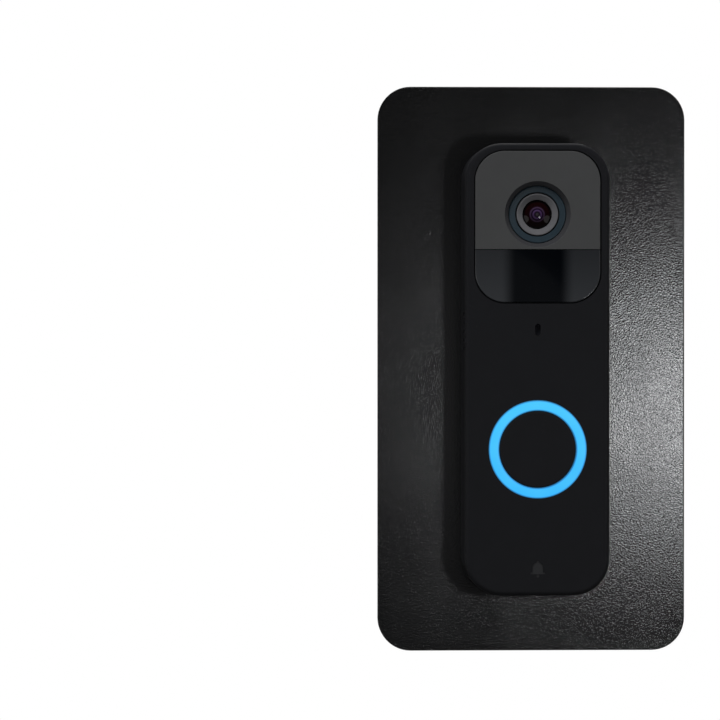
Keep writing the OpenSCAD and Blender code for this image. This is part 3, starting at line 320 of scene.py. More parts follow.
def dustGroup():
    # sparse fine specks that gather in patches
    group, given = newGroup("dustSpecks", Spacing=0.0012)
    scale = over(group, 1.0, given["Spacing"])
    specks = addNode(group, "ShaderNodeTexVoronoi", {"Vector": given["Vector"], "Scale": scale}, feature="F1")
    near = mapRange(group, specks.outputs["Distance"], 0.03, 0.10, 1.0, 0.0)
    patch = noise(group, given["Vector"], over(group, scale, 9.0), 3.0)["Fac"]
    return finishGroup(group, Mask=times(group, near, mapRange(group, patch, 0.5, 0.68)))


def turnedGroup():
    # fine grooves round an axis along Y, as a lathe leaves them
    group, given = newGroup("turnedGrooves", Pitch=0.0002)
    parts = partsOf(group, given["Vector"])
    squares = [times(group, parts[side], parts[side]) for side in ("X", "Z")]
    far = mathNode(group, "SQRT", plus(group, *squares))
    wave = mathNode(group, "SINE", times(group, over(group, far, given["Pitch"]), 2 * math.pi))
    return finishGroup(group, Height=mapRange(group, wave, -1.0, 1.0), Distance=far)


def weaveGroup():
    # plain weave seen along Y: over and under threads
    group, given = newGroup("plainWeave", Pitch=0.0003)
    parts = partsOf(group, given["Vector"])
    turn = over(group, math.pi, given["Pitch"])
    first = mathNode(group, "SINE", times(group, plus(group, parts["X"], parts["Y"]), turn))
    second = mathNode(group, "SINE", times(group, parts["Z"], turn))
    height = times(group, mathNode(group, "ABSOLUTE", first), mathNode(group, "ABSOLUTE", second))
    return finishGroup(group, Height=height, Thread=mapRange(group, times(group, first, second), -1.0, 1.0))


grain = grainGroup()
hairCell = hairCellGroup()
edgeWear = edgeWearGroup()
dustSpecks = dustGroup()
turnedGrooves = turnedGroup()
plainWeave = weaveGroup()
print("shared shader groups ready")


# materials
def startMaterial(name, uniform):
    material = bpy.data.materials.new(name)
    material.use_nodes = True
    tree = material.node_tree
    for label, value in uniform.items():
        tree.nodes["Principled BSDF"].inputs[label].default_value = value
    return material, tree, addNode(tree, "ShaderNodeTexCoord").outputs["Object"]


def finishMaterial(material, colour, rough, height=None, depth=0.0):
    tree = material.node_tree
    varied = {"Base Color": colour, "Roughness": rough}
    if height:
        bump = addNode(tree, "ShaderNodeBump", {"Height": height, "Distance": depth, "Strength": 1.0})
        varied["Normal"] = bump.outputs["Normal"]
    for label, value in varied.items():
        tree.links.new(value, tree.nodes["Principled BSDF"].inputs[label])
    return material


def shade(look, factor, lift=0.0):
    return [min(1, c * factor + lift) for c in look["colour"]]


def dusted(tree, place, tone, spacing, share, colour):
    dust = useGroup(tree, dustSpecks, place, Spacing=spacing)["Mask"]
    return blendIn(tree, dust, share, tone, colour)


def coatedPlate(name, look):
    # powder coat with a pebbled hair cell finish over steel
    material, tree, place = startMaterial(name, {"Specular IOR Level": look["shine"], "IOR": look["index"]})
    coat = useGroup(tree, hairCell, place, Size=look["cell"])
    wear = useGroup(tree, edgeWear, place, Radius=0.0004, Breakup=0.003)["Mask"]
    tone = mixColour(tree, coat["Tone"], look["colour"], look["warmer"])
    # painted shade: the valleys of the pebbled coat are painted darker, as the shade that falls in them
    shadedValleys = blendIn(tree, coat["Valley"], 0.5, tone, look["valleyShade"])
    worn = blendIn(tree, wear, look["wear"], shadedValleys, look["worn"])
    dusty = dusted(tree, place, worn, 0.0022, 0.25, (0.2, 0.2, 0.2))
    rough = plus(tree, around(tree, coat["Tone"], look["rough"], 0.02), times(tree, coat["Valley"], 0.08))
    return finishMaterial(material, dusty, rough, coat["Height"], look["depth"])


def recessPaintedShade(tree, place, tone, hole):
    # painted shade: the wall of the lens recess is painted darker than the face round it, as the shade that falls in
    # the recess
    far = useGroup(tree, turnedGrooves, centredOn(tree, place, lensAxis), Pitch=0.001)["Distance"]
    inside = mapRange(tree, far, hole["radius"], hole["radius"] + 0.00015, 1.0, 0.0)
    below = mapRange(tree, partsOf(tree, place)["Y"], hole["front"] + 0.00004, hole["front"] + 0.0002)
    return blendIn(tree, inside, below, tone, hole["colour"])


def signPaintedSheen(tree, place, tone, sign):
    # painted sheen: the floor of the sunk sign is painted a little lighter than the grained face, as the sheen of its
    # polished floor
    parts = partsOf(tree, place)
    sunk = mapRange(tree, parts["Y"], sign["front"] + 0.00006, sign["front"] + 0.0001)
    up = mathNode(tree, "ABSOLUTE", minus(tree, parts["Z"], sign["height"]))
    away = plus(tree, mathNode(tree, "ABSOLUTE", parts["X"]), up)
    inside = mapRange(tree, away, sign["reach"], sign["reach"] + 0.0001, 1.0, 0.0)
    return blendIn(tree, sunk, inside, tone, sign["colour"])


def mouldedPlastic(name, look):
    # injection moulded face: fine spark grain, a little polish on the edges
    material, tree, place = startMaterial(name, {"Specular IOR Level": look.get("shine", 0.4), "IOR": 1.5,
                                                 "Coat Weight": look.get("coat", 0.0), "Coat Roughness": 0.12})
    face = useGroup(tree, grain, place, Size=look["grain"])
    tone = mixColour(tree, face["Tone"], look["colour"], shade(look, look.get("spread", 1.15)))
    if "wear" in look:
        wear = useGroup(tree, edgeWear, place, Radius=0.0003, Breakup=0.0025)["Mask"]
        tone = blendIn(tree, wear, look["wear"], tone, shade(look, 1.8, 0.02))
    # painted shade on the wall of the lens recess
    if "recess" in look:
        tone = recessPaintedShade(tree, place, tone, look["recess"])
    # painted sheen on the floor of the sunk sign
    if "sign" in look:
        tone = signPaintedSheen(tree, place, tone, look["sign"])
    if "dust" in look:
        tone = dusted(tree, place, tone, 0.0016, look["dust"], (0.25, 0.25, 0.26))
    rough = around(tree, face["Tone"], look["rough"], 0.03)
    return finishMaterial(material, tone, rough, face["Height"], look["depth"])


def smokedWindow(name, look):
    # polished dark window: clear over the motion sensor in the middle, smoky over the lamps at both sides
    material, tree, place = startMaterial(name, {"Specular IOR Level": 0.5, "IOR": 1.5, "Coat Weight": 0.4,
                                                 "Coat Roughness": 0.03})
    parts = partsOf(tree, place)
    face = useGroup(tree, grain, place, Size=0.0015)
    sideways = mathNode(tree, "ABSOLUTE", parts["X"])
    side = mapRange(tree, sideways, look["clearHalf"], look["smokyFrom"], 0.0, 1.0, "SMOOTHSTEP")
    fade = mapRange(tree, parts["Z"], look["low"], look["high"], 1.0, 0.6)
    tone = blendIn(tree, side, fade, look["colour"], look["smoky"])
    dusty = dusted(tree, place, tone, 0.0018, 0.1, (0.25, 0.25, 0.25))
    return finishMaterial(material, dusty, mapRange(tree, face["Tone"], 0, 1, 0.05, 0.09), face["Height"], 0.0000015)


def platedMetal(name, look):
    # plated or bare metal: rolled grain one way, slight tarnish, bright edges
    material, tree, place = startMaterial(name, {"Metallic": 1.0})
    along = addNode(tree, "ShaderNodeMapping", {"Vector": place, "Scale": (1, 1, 0.08)}).outputs[0]
    face = useGroup(tree, grain, along, Size=look["grain"])
    stain = noise(tree, place, 260.0, 5.0, 0.62)["Fac"]
    wear = useGroup(tree, edgeWear, place, Radius=0.00015, Breakup=0.001)["Mask"]
    tone = mixColour(tree, mapRange(tree, stain, 0.45, 0.7), look["colour"], look["tarnish"])
    bright = blendIn(tree, wear, 0.6, tone, shade(look, 1.25))
    rough = plus(tree, mapRange(tree, face["Tone"], 0, 1, look["rough"] - 0.05, look["rough"] + 0.06),
                 mapRange(tree, stain, 0.5, 0.75, 0.0, 0.15))
    return finishMaterial(material, bright, rough, face["Height"], look["depth"])


def softRubber(name, look):
    # sheen of fine bloom on a soft seal
    material, tree, place = startMaterial(name, {
        "Specular IOR Level": 0.3, "Sheen Weight": look.get("sheen", 0.15), "Sheen Roughness": 0.5,
        "Transmission Weight": look.get("clear", 0.0)})
    face = useGroup(tree, grain, place, Size=look["grain"])
    tone = mixColour(tree, face["Tone"], look["colour"], shade(look, 1.3))
    dusty = dusted(tree, place, tone, 0.0008, 0.3, (0.3, 0.3, 0.3))
    rough = around(tree, face["Tone"], look["rough"], 0.05)
    return finishMaterial(material, dusty, rough, face["Height"], look["depth"])


def wovenCloth(name, look):
    material, tree, place = startMaterial(name, {"Specular IOR Level": 0.25, "Sheen Weight": 0.2})
    weave = useGroup(tree, plainWeave, place, Pitch=look["pitch"])
    fuzz = noise(tree, place, 9000.0, 3.0)["Fac"]
    tone = mixColour(tree, weave["Height"], shade(look, 0.35), look["colour"])
    fuzzy = blendIn(tree, fuzz, 0.3, tone, shade(look, 1.7))
    rough = mapRange(tree, weave["Thread"], 0, 1, 0.7, 0.9)
    return finishMaterial(material, fuzzy, rough, weave["Height"], look["pitch"] * 0.3)


def solderMask(name, look):
    # green board: weave of the glass cloth under the mask, and a maze of tracks
    material, tree, place = startMaterial(name, {"Specular IOR Level": 0.5, "Coat Weight": 0.4,
                                                 "Coat Roughness": 0.1})
    weave = useGroup(tree, plainWeave, place, Pitch=0.0006)
    facing = addNode(tree, "ShaderNodeMapping", {"Vector": place, "Rotation": (math.pi / 2, 0, 0)}).outputs[0]
    maze = addNode(tree, "ShaderNodeTexBrick", {"Vector": facing, "Scale": 420.0, "Mortar Size": 0.018,
                                                "Brick Width": 0.9, "Row Height": 0.22})
    track = mathNode(tree, "SUBTRACT", 1.0, maze.outputs["Fac"], True)
    tone = mixColour(tree, track, look["track"], look["colour"])
    woven = blendIn(tree, weave["Height"], 0.25, tone, look["cloth"])
    height = plus(tree, times(tree, track, -1.0), weave["Height"])
    return finishMaterial(material, woven, mapRange(tree, weave["Thread"], 0, 1, 0.26, 0.38), height, 0.00002)


def turnedMaterial(name, look):
    # grooves round the lens axis, on plastic
    material, tree, place = startMaterial(name, {"Specular IOR Level": look.get("shine", 0.5)})
    rings = useGroup(tree, turnedGrooves, centredOn(tree, place, lensAxis), Pitch=look["pitch"])
    face = useGroup(tree, grain, place, Size=look["grain"])
    tone = mixColour(tree, face["Tone"], look["colour"], look["other"])
    dark = blendIn(tree, rings["Height"], 0.2, tone, shade(look, 0.5))
    rough = around(tree, rings["Height"], look["rough"], 0.04)
    height = plus(tree, times(tree, rings["Height"], 0.7), times(tree, face["Height"], 0.4))
    return finishMaterial(material, dark, rough, height, look["depth"])


def paintedReflectionLens(name, look):
    # optical glass whose rings of colour round the axis are painted reflections of its coatings and of the inner lens
    # elements
    material, tree, place = startMaterial(name, {"IOR": 1.6, "Specular IOR Level": look.get("shine", 0.5),
                                                 "Transmission Weight": look["clear"], "Coat Weight": 0.03,
                                                 "Coat Roughness": 0.02})
    centred = centredOn(tree, place, lensAxis)
    far = useGroup(tree, turnedGrooves, centred, Pitch=0.001)["Distance"]
    smear = noise(tree, place, 700.0, 2.0)["Fac"]
    # painted reflections: colour rings by distance from the axis
    base = colourRamp(tree, over(tree, far, look["radius"]), look["rings"])
    if "lowSide" in look:
        # the coating catches the light from above, so its rings fade towards the foot
        lift = mapRange(tree, partsOf(tree, centred)["Z"], -0.6 * look["radius"], 0.4 * look["radius"],
                        look["lowSide"], 1.0)
        base = mixColour(tree, lift, [0.0015] * 3, base)
    hazy = blendIn(tree, smear, 0.12, base, look["haze"])
    return finishMaterial(material, hazy, mapRange(tree, smear, 0.4, 0.7, look["rough"], look["rough"] + 0.04))


def litRing(name, look):
    # opal ring lit from behind by its lamps: slightly brighter over each one, fading at both edges
    material, tree, place = startMaterial(name, {"Specular IOR Level": 0.35, "Coat Weight": 0.3,
                                                 "Coat Roughness": 0.3, "Emission Strength": look["strength"]})
    centred = centredOn(tree, place, buttonAxis)
    parts = partsOf(tree, centred)
    angle = mathNode(tree, "ARCTAN2", parts["Z"], parts["X"])
    spots = mathNode(tree, "COSINE", times(tree, angle, float(look["lampCount"])))
    rise = mapRange(tree, parts["Z"], -look["radius"], look["radius"])
    face = useGroup(tree, grain, place, Size=0.0004)
    glow = mixColour(tree, rise, look["low"], look["high"])
    spotted = mixColour(tree, mapRange(tree, spots, -1, 1, 0.0, 0.10), glow, look["core"])
    far = useGroup(tree, turnedGrooves, centred, Pitch=0.001)["Distance"]
    reach = mathNode(tree, "MINIMUM", minus(tree, far, look["inner"]), minus(tree, look["outer"], far))
    lit = mapRange(tree, reach, 0.0, look["fade"], 0.12, 1.0, "SMOOTHSTEP")
    toned = blendIn(tree, face["Tone"], 0.06, spotted, look["low"])
    tree.links.new(mixColour(tree, lit, look["edge"], toned), tree.nodes["Principled BSDF"].inputs["Emission Color"])
    body = mixColour(tree, face["Tone"], look["colour"], shade(look, 1.1))
    return finishMaterial(material, body, mapRange(tree, face["Tone"], 0, 1, 0.38, 0.46), face["Height"], 0.000006)


def surface(colour, rough, grain, depth, **more):
    # what most looks share: grain size and bump depth are in metres
    return {"colour": colour, "rough": rough, "grain": grain, "depth": depth, **more}


windowLow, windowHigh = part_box("window_panel")
slotLooks = {
    "textured_plate": (coatedPlate, "hairCellPlate", {
        "colour": (0.006, 0.006, 0.0065), "warmer": (0.008, 0.0078, 0.0078), "valleyShade": (0.0025, 0.0025, 0.0025),
        "worn": (0.05, 0.05, 0.052), "wear": 0.35, "rough": 0.125, "shine": 1.0, "index": 1.9, "cell": 0.00047,
        "depth": 0.000024}),
    "housing_plastic": (mouldedPlastic, "housingPlastic",
        surface((0.0185, 0.019, 0.0215), 0.66, 0.00022, 0.000006, shine=0.22, wear=0.25, dust=0.12, spread=1.12,
            sign={"front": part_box("front_housing")[0].y, "height": -0.057, "reach": 0.007,
                  "colour": (0.05, 0.051, 0.054)})),
    "panel_satin": (mouldedPlastic, "headPanelSatin",
        surface((0.094, 0.096, 0.096), 0.42, 0.00035, 0.000003, shine=0.34, wear=0.2, dust=0.1, spread=1.1,
            # painted shade: darker colour for the wall of the lens recess
            recess={"front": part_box("camera_panel")[0].y, "radius": 0.00975, "colour": (0.068, 0.068, 0.072)})),
    "panel_gloss": (smokedWindow, "sensorWindowGloss", {
        "colour": (0.0008, 0.0018, 0.0035), "smoky": (0.062, 0.066, 0.072), "clearHalf": 0.0062,
        "smokyFrom": 0.0108, "low": windowLow.z, "high": windowHigh.z}),
    "mount_plastic": (mouldedPlastic, "mountPlastic",
        surface((0.02, 0.0205, 0.022), 0.58, 0.00035, 0.00001, shine=0.35, wear=0.3)),
    "zinc_screw": (platedMetal, "zincPlate",
        surface((0.62, 0.63, 0.66), 0.3, 0.00025, 0.000004, tarnish=(0.48, 0.47, 0.44))),
    "nickel": (platedMetal, "nickelPlate",
        surface((0.7, 0.68, 0.63), 0.24, 0.0003, 0.000003, tarnish=(0.5, 0.46, 0.4))),
    "brass": (platedMetal, "pressedBrass",
        surface((0.76, 0.54, 0.22), 0.28, 0.0003, 0.000003, tarnish=(0.42, 0.27, 0.1))),
    "gold_pad": (platedMetal, "goldFlash",
        surface((0.9, 0.68, 0.27), 0.2, 0.0004, 0.000002, tarnish=(0.7, 0.46, 0.16))),
    "seal_rubber": (softRubber, "sealRubber", surface((0.02, 0.02, 0.022), 0.75, 0.0003, 0.00001)),
    "silicone": (softRubber, "keySilicone", surface((0.3, 0.31, 0.33), 0.5, 0.0004, 0.000006, clear=0.2, sheen=0.05)),
    "cell_wrap": (mouldedPlastic, "cellWrap",
        surface((0.07, 0.22, 0.34), 0.28, 0.0009, 0.000004, coat=0.5, wear=0.2)),
    "circuit_board": (solderMask, "boardMask", {
        "colour": (0.012, 0.12, 0.05), "track": (0.03, 0.2, 0.09), "cloth": (0.02, 0.09, 0.045)}),
    "chip_plastic": (mouldedPlastic, "chipEpoxy", surface((0.012, 0.012, 0.013), 0.5, 0.0002, 0.000006, shine=0.4)),
    "switch_plastic": (mouldedPlastic, "switchPlastic",
        surface((0.62, 0.63, 0.64), 0.45, 0.0004, 0.000004, spread=0.92)),
    "reset_plastic": (mouldedPlastic, "resetPlastic", surface((0.42, 0.04, 0.03), 0.4, 0.0004, 0.000004)),
    "antenna_film": (mouldedPlastic, "antennaFilm", surface((0.42, 0.23, 0.05), 0.35, 0.0009, 0.000004, coat=0.3)),
    "sensor_glass": (mouldedPlastic, "sensorGlass", surface((0.04, 0.025, 0.08), 0.1, 0.00005, 0.000001, coat=0.6)),
    "lens_black": (turnedMaterial, "barrelBlack",
        surface((0.012, 0.012, 0.013), 0.5, 0.0003, 0.00001, other=(0.016, 0.016, 0.017), pitch=0.00022)),
    "lens_glass": (paintedReflectionLens, "glassPaintedReflections", {
        "radius": 0.0042, "rough": 0.03, "haze": (0.02, 0.01, 0.02), "clear": 0.9,
        "rings": [(0.0, (0.9, 0.85, 0.9)), (0.5, (0.8, 0.62, 0.82)), (0.8, (0.55, 0.3, 0.36)),
                  (1.0, (0.12, 0.03, 0.03))]}),
    "bezel_grey": (turnedMaterial, "bezelGrey",
        surface((0.034, 0.058, 0.076), 0.42, 0.0002, 0.000004, other=(0.042, 0.069, 0.089), pitch=0.00016)),
    "tape_foam": (softRubber, "foamTape", surface((0.05, 0.05, 0.055), 0.85, 0.00025, 0.00006)),
    "sensor_can": (platedMetal, "sensorCan",
        surface((0.58, 0.56, 0.5), 0.34, 0.0003, 0.000004, tarnish=(0.4, 0.38, 0.33))),
    "led_resin": (mouldedPlastic, "lampResin", surface((0.72, 0.75, 0.78), 0.12, 0.0005, 0.000002, coat=0.4)),
    "reflector_white": (mouldedPlastic, "reflectorWhite", surface((0.82, 0.83, 0.84), 0.3, 0.0006, 0.000003)),
    "ring_light": (litRing, "opalRing", {
        "colour": (0.03, 0.16, 0.34), "radius": radiusOf("light_ring"), "strength": 1.0, "lampCount": 8,
        "inner": 0.0111, "outer": 0.0141, "fade": 0.00055, "edge": (0.01, 0.06, 0.14),
        "low": (0.032, 0.44, 1.0), "high": (0.052, 0.52, 1.0), "core": (0.11, 0.62, 1.0)}),
    "mesh_cloth": (wovenCloth, "acousticCloth", {"colour": (0.03, 0.03, 0.033), "pitch": 0.00032}),
    "ribbon_film": (mouldedPlastic, "ribbonFilm", surface((0.66, 0.62, 0.5), 0.35, 0.0008, 0.000004)),
}
slotMaterials = {slot: make(name, look) for slot, (make, name, look) in slotLooks.items()}
for subpart in record["subparts"]:
    painted = nodes[subpart["node"]].data.materials
    painted.clear()
    painted.append(slotMaterials[subpart["material_slot"]])
print("materials ready:", len(slotMaterials))


# turned pieces: a half outline spun round an axis that points out of the wall
def softened(points, radius, steps=3):
    # each corner of a closed half outline becomes a small arc, where there is room for it
    result = []
    for i, corner in enumerate(points):
        before, here, after = Vector(points[i - 1]), Vector(corner), Vector(points[(i + 1) % len(points)])
        back, on = before - here, after - here
        reach = min(radius, back.length * 0.45, on.length * 0.45)
        if here.x < 1e-7 or reach < 1e-6:
            result.append(tuple(here))
            continue
        first, last = here + back.normalized() * reach, here + on.normalized() * reach
        for k in range(steps + 1):
            t = k / steps
            result.append(tuple(first * (1 - t) ** 2 + here * 2 * t * (1 - t) + last * t * t))
    return result


def finishMesh(name, mesh, form, merge, smoothAngle):
    # doubles merged, faces outwards, smooth but for the sharp edges
    bmesh.ops.remove_doubles(form, verts=form.verts, dist=merge)
    bmesh.ops.recalc_face_normals(form, faces=form.faces)
    form.to_mesh(mesh)
    form.free()
    mesh.shade_smooth()
    mesh.set_sharp_from_angle(angle=math.radians(smoothAngle))
    return addObject(name, mesh)


def spinOutline(form, outline, axis, segments, material=0, upright=False):
    # outline points are (radius, depth), depth being the distance out of the wall, or the height if upright
    rings = []
    for radius, depth in outline:
        ring = []
        for k in range(segments if radius > 1e-7 else 1):
            angle = 2 * math.pi * k / segments
            across, along = radius * math.cos(angle), radius * math.sin(angle)
            place = (across, along, depth) if upright else (across, -depth, along)
            ring.append(form.verts.new(axis + Vector(place)))
        rings.append(ring)
    for i, ring in enumerate(rings):
        other = rings[(i + 1) % len(rings)]
        for k in range(segments):
            corners = [ring[k % len(ring)], ring[(k + 1) % len(ring)],
                       other[(k + 1) % len(other)], other[k % len(other)]]
            corners = list(dict.fromkeys(corners))
            if len(corners) > 2:
                form.faces.new(corners).material_index = material


def turnedObject(name, form, *materials):
    mesh = bpy.data.meshes.new(name)
    for material in materials:
        mesh.materials.append(material)
    return finishMesh(name, mesh, form, 1e-7, 32)


def turnedPiece(name, outline, axis, material, segments=128, soften=0.0):
    form = bmesh.new()
    spinOutline(form, softened(outline, soften) if soften else outline, axis, segments)
    return turnedObject(name, form, material)


def place(piece, body, slot, *replaced):
    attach(piece, body)
    if replaced:
        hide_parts(*replaced)


# lens barrel: head with a lip, then a cone of fine steps down to the glass
glassRadius = radiusOf("front_lens")
barrelShape = {"threadRadius": 5.4 * mm, "boreRadius": 3.7 * mm, "rearBore": 3.1 * mm, "headHeight": 2.05 * mm,
               "rimRadius": 5.98 * mm, "rimBack": 0.6 * mm, "shoulder": 0.75 * mm, "bevel": 0.08 * mm,
               "mouthInset": 0.25 * mm, "coneDepth": 0.7 * mm, "coneSpare": 0.1 * mm, "steps": 5,
               "stepDrop": 0.04 * mm, "glassSpare": 0.03 * mm, "glassEdge": 1.0 * mm, "seatHeight": 3.27 * mm}
mouthGrey = turnedMaterial("barrelMouthGrey", {"colour": (0.19, 0.19, 0.2), "other": (0.21, 0.21, 0.22),
                           "pitch": 0.00025, "rough": 0.45, "depth": 0.000006, "grain": 0.0003})


def makeBarrel():
    shape, headRadius = barrelShape, radiusOf("lens_barrel")
    back, front = depths("lens_barrel")
    seat = depths("front_lens")[0] - shape["glassSpare"]
    headBack, rim = front - shape["headHeight"], shape["rimRadius"]
    outline = [(shape["rearBore"], back), (shape["threadRadius"], back), (shape["threadRadius"], headBack),
               (headRadius, headBack), (headRadius, front - shape["shoulder"]), (rim, front - shape["rimBack"]),
               (rim, front - shape["bevel"]), (rim - shape["bevel"], front)]
    mouth, inner = rim - shape["mouthInset"], glassRadius + shape["coneSpare"]
    for k in range(shape["steps"]):
        near, far = k / shape["steps"], (k + 1) / shape["steps"]
        outline.append((mouth + (inner - mouth) * near, front - near * shape["coneDepth"]))
        outline.append((mouth + (inner - mouth) * far, front - far * shape["coneDepth"] + shape["stepDrop"]))
    glassBore, seatBack = glassRadius + shape["glassSpare"], seat - shape["seatHeight"]
    outline += [(inner, front - shape["coneDepth"]), (glassBore, front - shape["glassEdge"]), (glassBore, seat),
                (shape["boreRadius"], seat), (shape["boreRadius"], seatBack), (shape["rearBore"], seatBack)]
    form = bmesh.new()
    spinOutline(form, softened(outline, 0.03 * mm), lensAxis, 160)
    for face in form.faces:
        # only the cone and the rim are grey, the thread and the groove round the rim are black; the black in the
        # groove round the rim is painted shade
        centre = face.calc_center_median()
        away = (centre - lensAxis) * Vector((1, 0, 1))
        if -centre.y < front - 0.3 * mm and away.length > rim - 0.06 * mm:
            face.material_index = 1
    return turnedObject("lensBarrel", form, mouthGrey, slotMaterials["lens_black"])


place(makeBarrel(), "doorbell", "lens_black", "lens_barrel")

# lens elements: crowned glass with a ground edge
glassLooks = {
    "front": {"radius": glassRadius, "rough": 0.02, "haze": (0.01, 0.006, 0.01), "clear": 0.0, "shine": 0.2,
              "lowSide": 0.35,
              # painted reflections on the front glass: a grey dot in the middle, purple rings, dark towards the edge
              "rings": [(0.0, (0.085, 0.08, 0.082)), (0.08, (0.07, 0.062, 0.068)), (0.13, (0.02, 0.012, 0.026)),
                        (0.20, (0.03, 0.015, 0.042)), (0.27, (0.14, 0.075, 0.2)), (0.31, (0.11, 0.055, 0.17)),
                        (0.35, (0.012, 0.004, 0.018)), (0.40, (0.016, 0.007, 0.022)), (0.45, (0.09, 0.05, 0.11)),
                        (0.50, (0.09, 0.05, 0.1)), (0.54, (0.016, 0.005, 0.009)), (0.62, (0.012, 0.0025, 0.003)),
                        (0.80, (0.015, 0.0025, 0.0028)), (0.90, (0.004, 0.002, 0.002)),
                        (1.0, (0.002, 0.002, 0.002))]},
    "inner": {"radius": radiusOf("middle_lens"), "rough": 0.03, "haze": (0.02, 0.01, 0.02), "clear": 0.9,
              "rings": [(0.0, (0.8, 0.75, 0.85)), (0.6, (0.6, 0.4, 0.7)), (1.0, (0.2, 0.1, 0.15))]},
}
glassEdge = {"ground": 0.05 * mm, "land": 0.02 * mm, "steps": 24}


def crownedGlass(name, node, material, crown):
    back, front = depths(node)
    radius, edge = radiusOf(node), front - crown
    outline = [(0, back), (radius - glassEdge["ground"], back), (radius, back + glassEdge["ground"]),
               (radius, edge - glassEdge["land"])]
    for k in range(glassEdge["steps"]):
        share = 1 - k / glassEdge["steps"]
        outline.append((radius * share, edge + crown * (1 - share * share)))
    outline.append((0, front))
    place(turnedPiece(name, outline, lensAxis, material), "doorbell", "lens_glass", node)


crownedGlass("frontGlass", "front_lens", paintedReflectionLens("frontGlassPaintedReflections", glassLooks["front"]), 0.9 * mm)
crownedGlass("innerGlass", "middle_lens", paintedReflectionLens("innerGlassPaintedReflections", glassLooks["inner"]), 0.8 * mm)

# bezel round the barrel: raised rim, shallow dished face, bevelled bore
bezelShape = {"bore": 6.85 * mm, "lip": 6.38 * mm, "rim": 0.35 * mm, "dish": 0.1 * mm, "lipHeight": 0.45 * mm}


def makeBezel():
    back, front = depths("lens_bezel")
    bore, lip, rim, dish, lipHeight = bezelShape.values()
    radius = radiusOf("lens_bezel")
    face = front - dish
    outline = [(bore, back), (radius, back), (radius, front - 0.25 * mm), (radius - 0.1 * mm, front - 0.08 * mm),
               (radius - rim, front), (radius - rim - 0.12 * mm, front - 0.06 * mm), ((radius + lip) / 2, face),
               (lip + 0.1 * mm, face - 0.06 * mm), (lip, face - 0.14 * mm), (lip, face - lipHeight),
               (bore, face - lipHeight)]
    return turnedPiece("lensBezelRing", outline, lensAxis, slotMaterials["bezel_grey"], 160, 0.06 * mm)


place(makeBezel(), "doorbell", "bezel_grey", "lens_bezel")

# opal ring and the button inside it
ringShape = {"faceOuter": 14.1 * mm, "faceInner": 11.1 * mm, "skirtInner": 12.3 * mm, "rebate": 1.75 * mm,
             "flange": 1.55 * mm, "roundover": 0.14 * mm}
capShape = {"faceRadius": 10.95 * mm, "flangeRadius": 12.0 * mm, "flangeHeight": 0.5 * mm, "flangeDrop": 1.85 * mm,
            "wall": 1.05 * mm, "top": 1.0 * mm, "nubRadius": 1.6 * mm, "dish": 0.12 * mm, "roundover": 0.28 * mm}


def makeOpalRing():
    outer, inner, skirt, rebate, flange, roundover = ringShape.values()
    back, front = depths("light_ring")
    flangeRadius = radiusOf("light_ring")
    outline = [(inner, front - rebate), (skirt, front - rebate), (skirt, back), (flangeRadius, back),
               (flangeRadius, front - flange), (outer, front - flange), (outer, front), (inner, front)]
    return turnedPiece("opalRing", outline, buttonAxis, slotMaterials["ring_light"], 192, roundover)


def makeButtonCap():
    # the face is dished a little, so that a finger finds it
    shape = capShape
    back, front = depths("button_cap")
    under, flangeFront = front - shape["top"], front - shape["flangeDrop"]
    inside, flangeBack = shape["faceRadius"] - shape["wall"], flangeFront - shape["flangeHeight"]
    outline = [(0, back), (shape["nubRadius"], back), (shape["nubRadius"], under), (inside, under),
               (inside, flangeBack), (shape["flangeRadius"], flangeBack), (shape["flangeRadius"], flangeFront),
               (shape["faceRadius"], flangeFront), (shape["faceRadius"], front)]
    outline = softened(outline + [(0, front)], shape["roundover"])[:-1]
    rim = outline[-1][0]
    for k in range(1, 16):
        share = 1 - k / 16
        outline.append((rim * share, front - shape["dish"] * (1 - share * share)))
    outline.append((0, front - shape["dish"]))
    return turnedPiece("buttonCap", outline, buttonAxis, slotMaterials["housing_plastic"], 160)


place(makeOpalRing(), "doorbell", "ring_light", "light_ring")
place(makeButtonCap(), "button", "housing_plastic", "button_cap")

# silicone ring: foot, thin web and a top bead that leaves the cap room to sink
padShape = {"footInner": 7.4 * mm, "footOuter": 8.8 * mm, "topInner": 7.0 * mm, "topOuter": 8.2 * mm,
            "footHeight": 0.3 * mm, "room": 0.28 * mm, "webInner": 7.3 * mm, "webOuter": 8.2 * mm}


def makePad():
    back, front = depths("button_pad")
    shape, top = padShape, front - padShape["room"]
    foot, web = back + shape["footHeight"], back + 2 * shape["footHeight"]
    outline = [(shape["footInner"], back), (shape["footOuter"], back), (shape["footOuter"], foot),
               (shape["webOuter"], web), (shape["topOuter"], top), (shape["topInner"], top),
               (shape["webInner"], web), (shape["footInner"], foot)]
    return turnedPiece("siliconeRing", outline, buttonAxis, slotMaterials["silicone"], 96, 0.08 * mm)


place(makePad(), "doorbell", "silicone", "button_pad")

# cells: crimped can, and a shrink wrap in two colours that stops short of both ends
cellShape = {"nubRadius": 2.75 * mm, "nubHeight": 1.0 * mm, "wrapLip": 0.8 * mm, "wrapThick": 0.05 * mm,
             "split": 0.74, "segments": 64}
wrapBand = mouldedPlastic("cellWrapBand", {"colour": (0.035, 0.036, 0.04), "rough": 0.25, "grain": 0.0008,
                                           "depth": 0.000003, "coat": 0.6, "wear": 0.2})


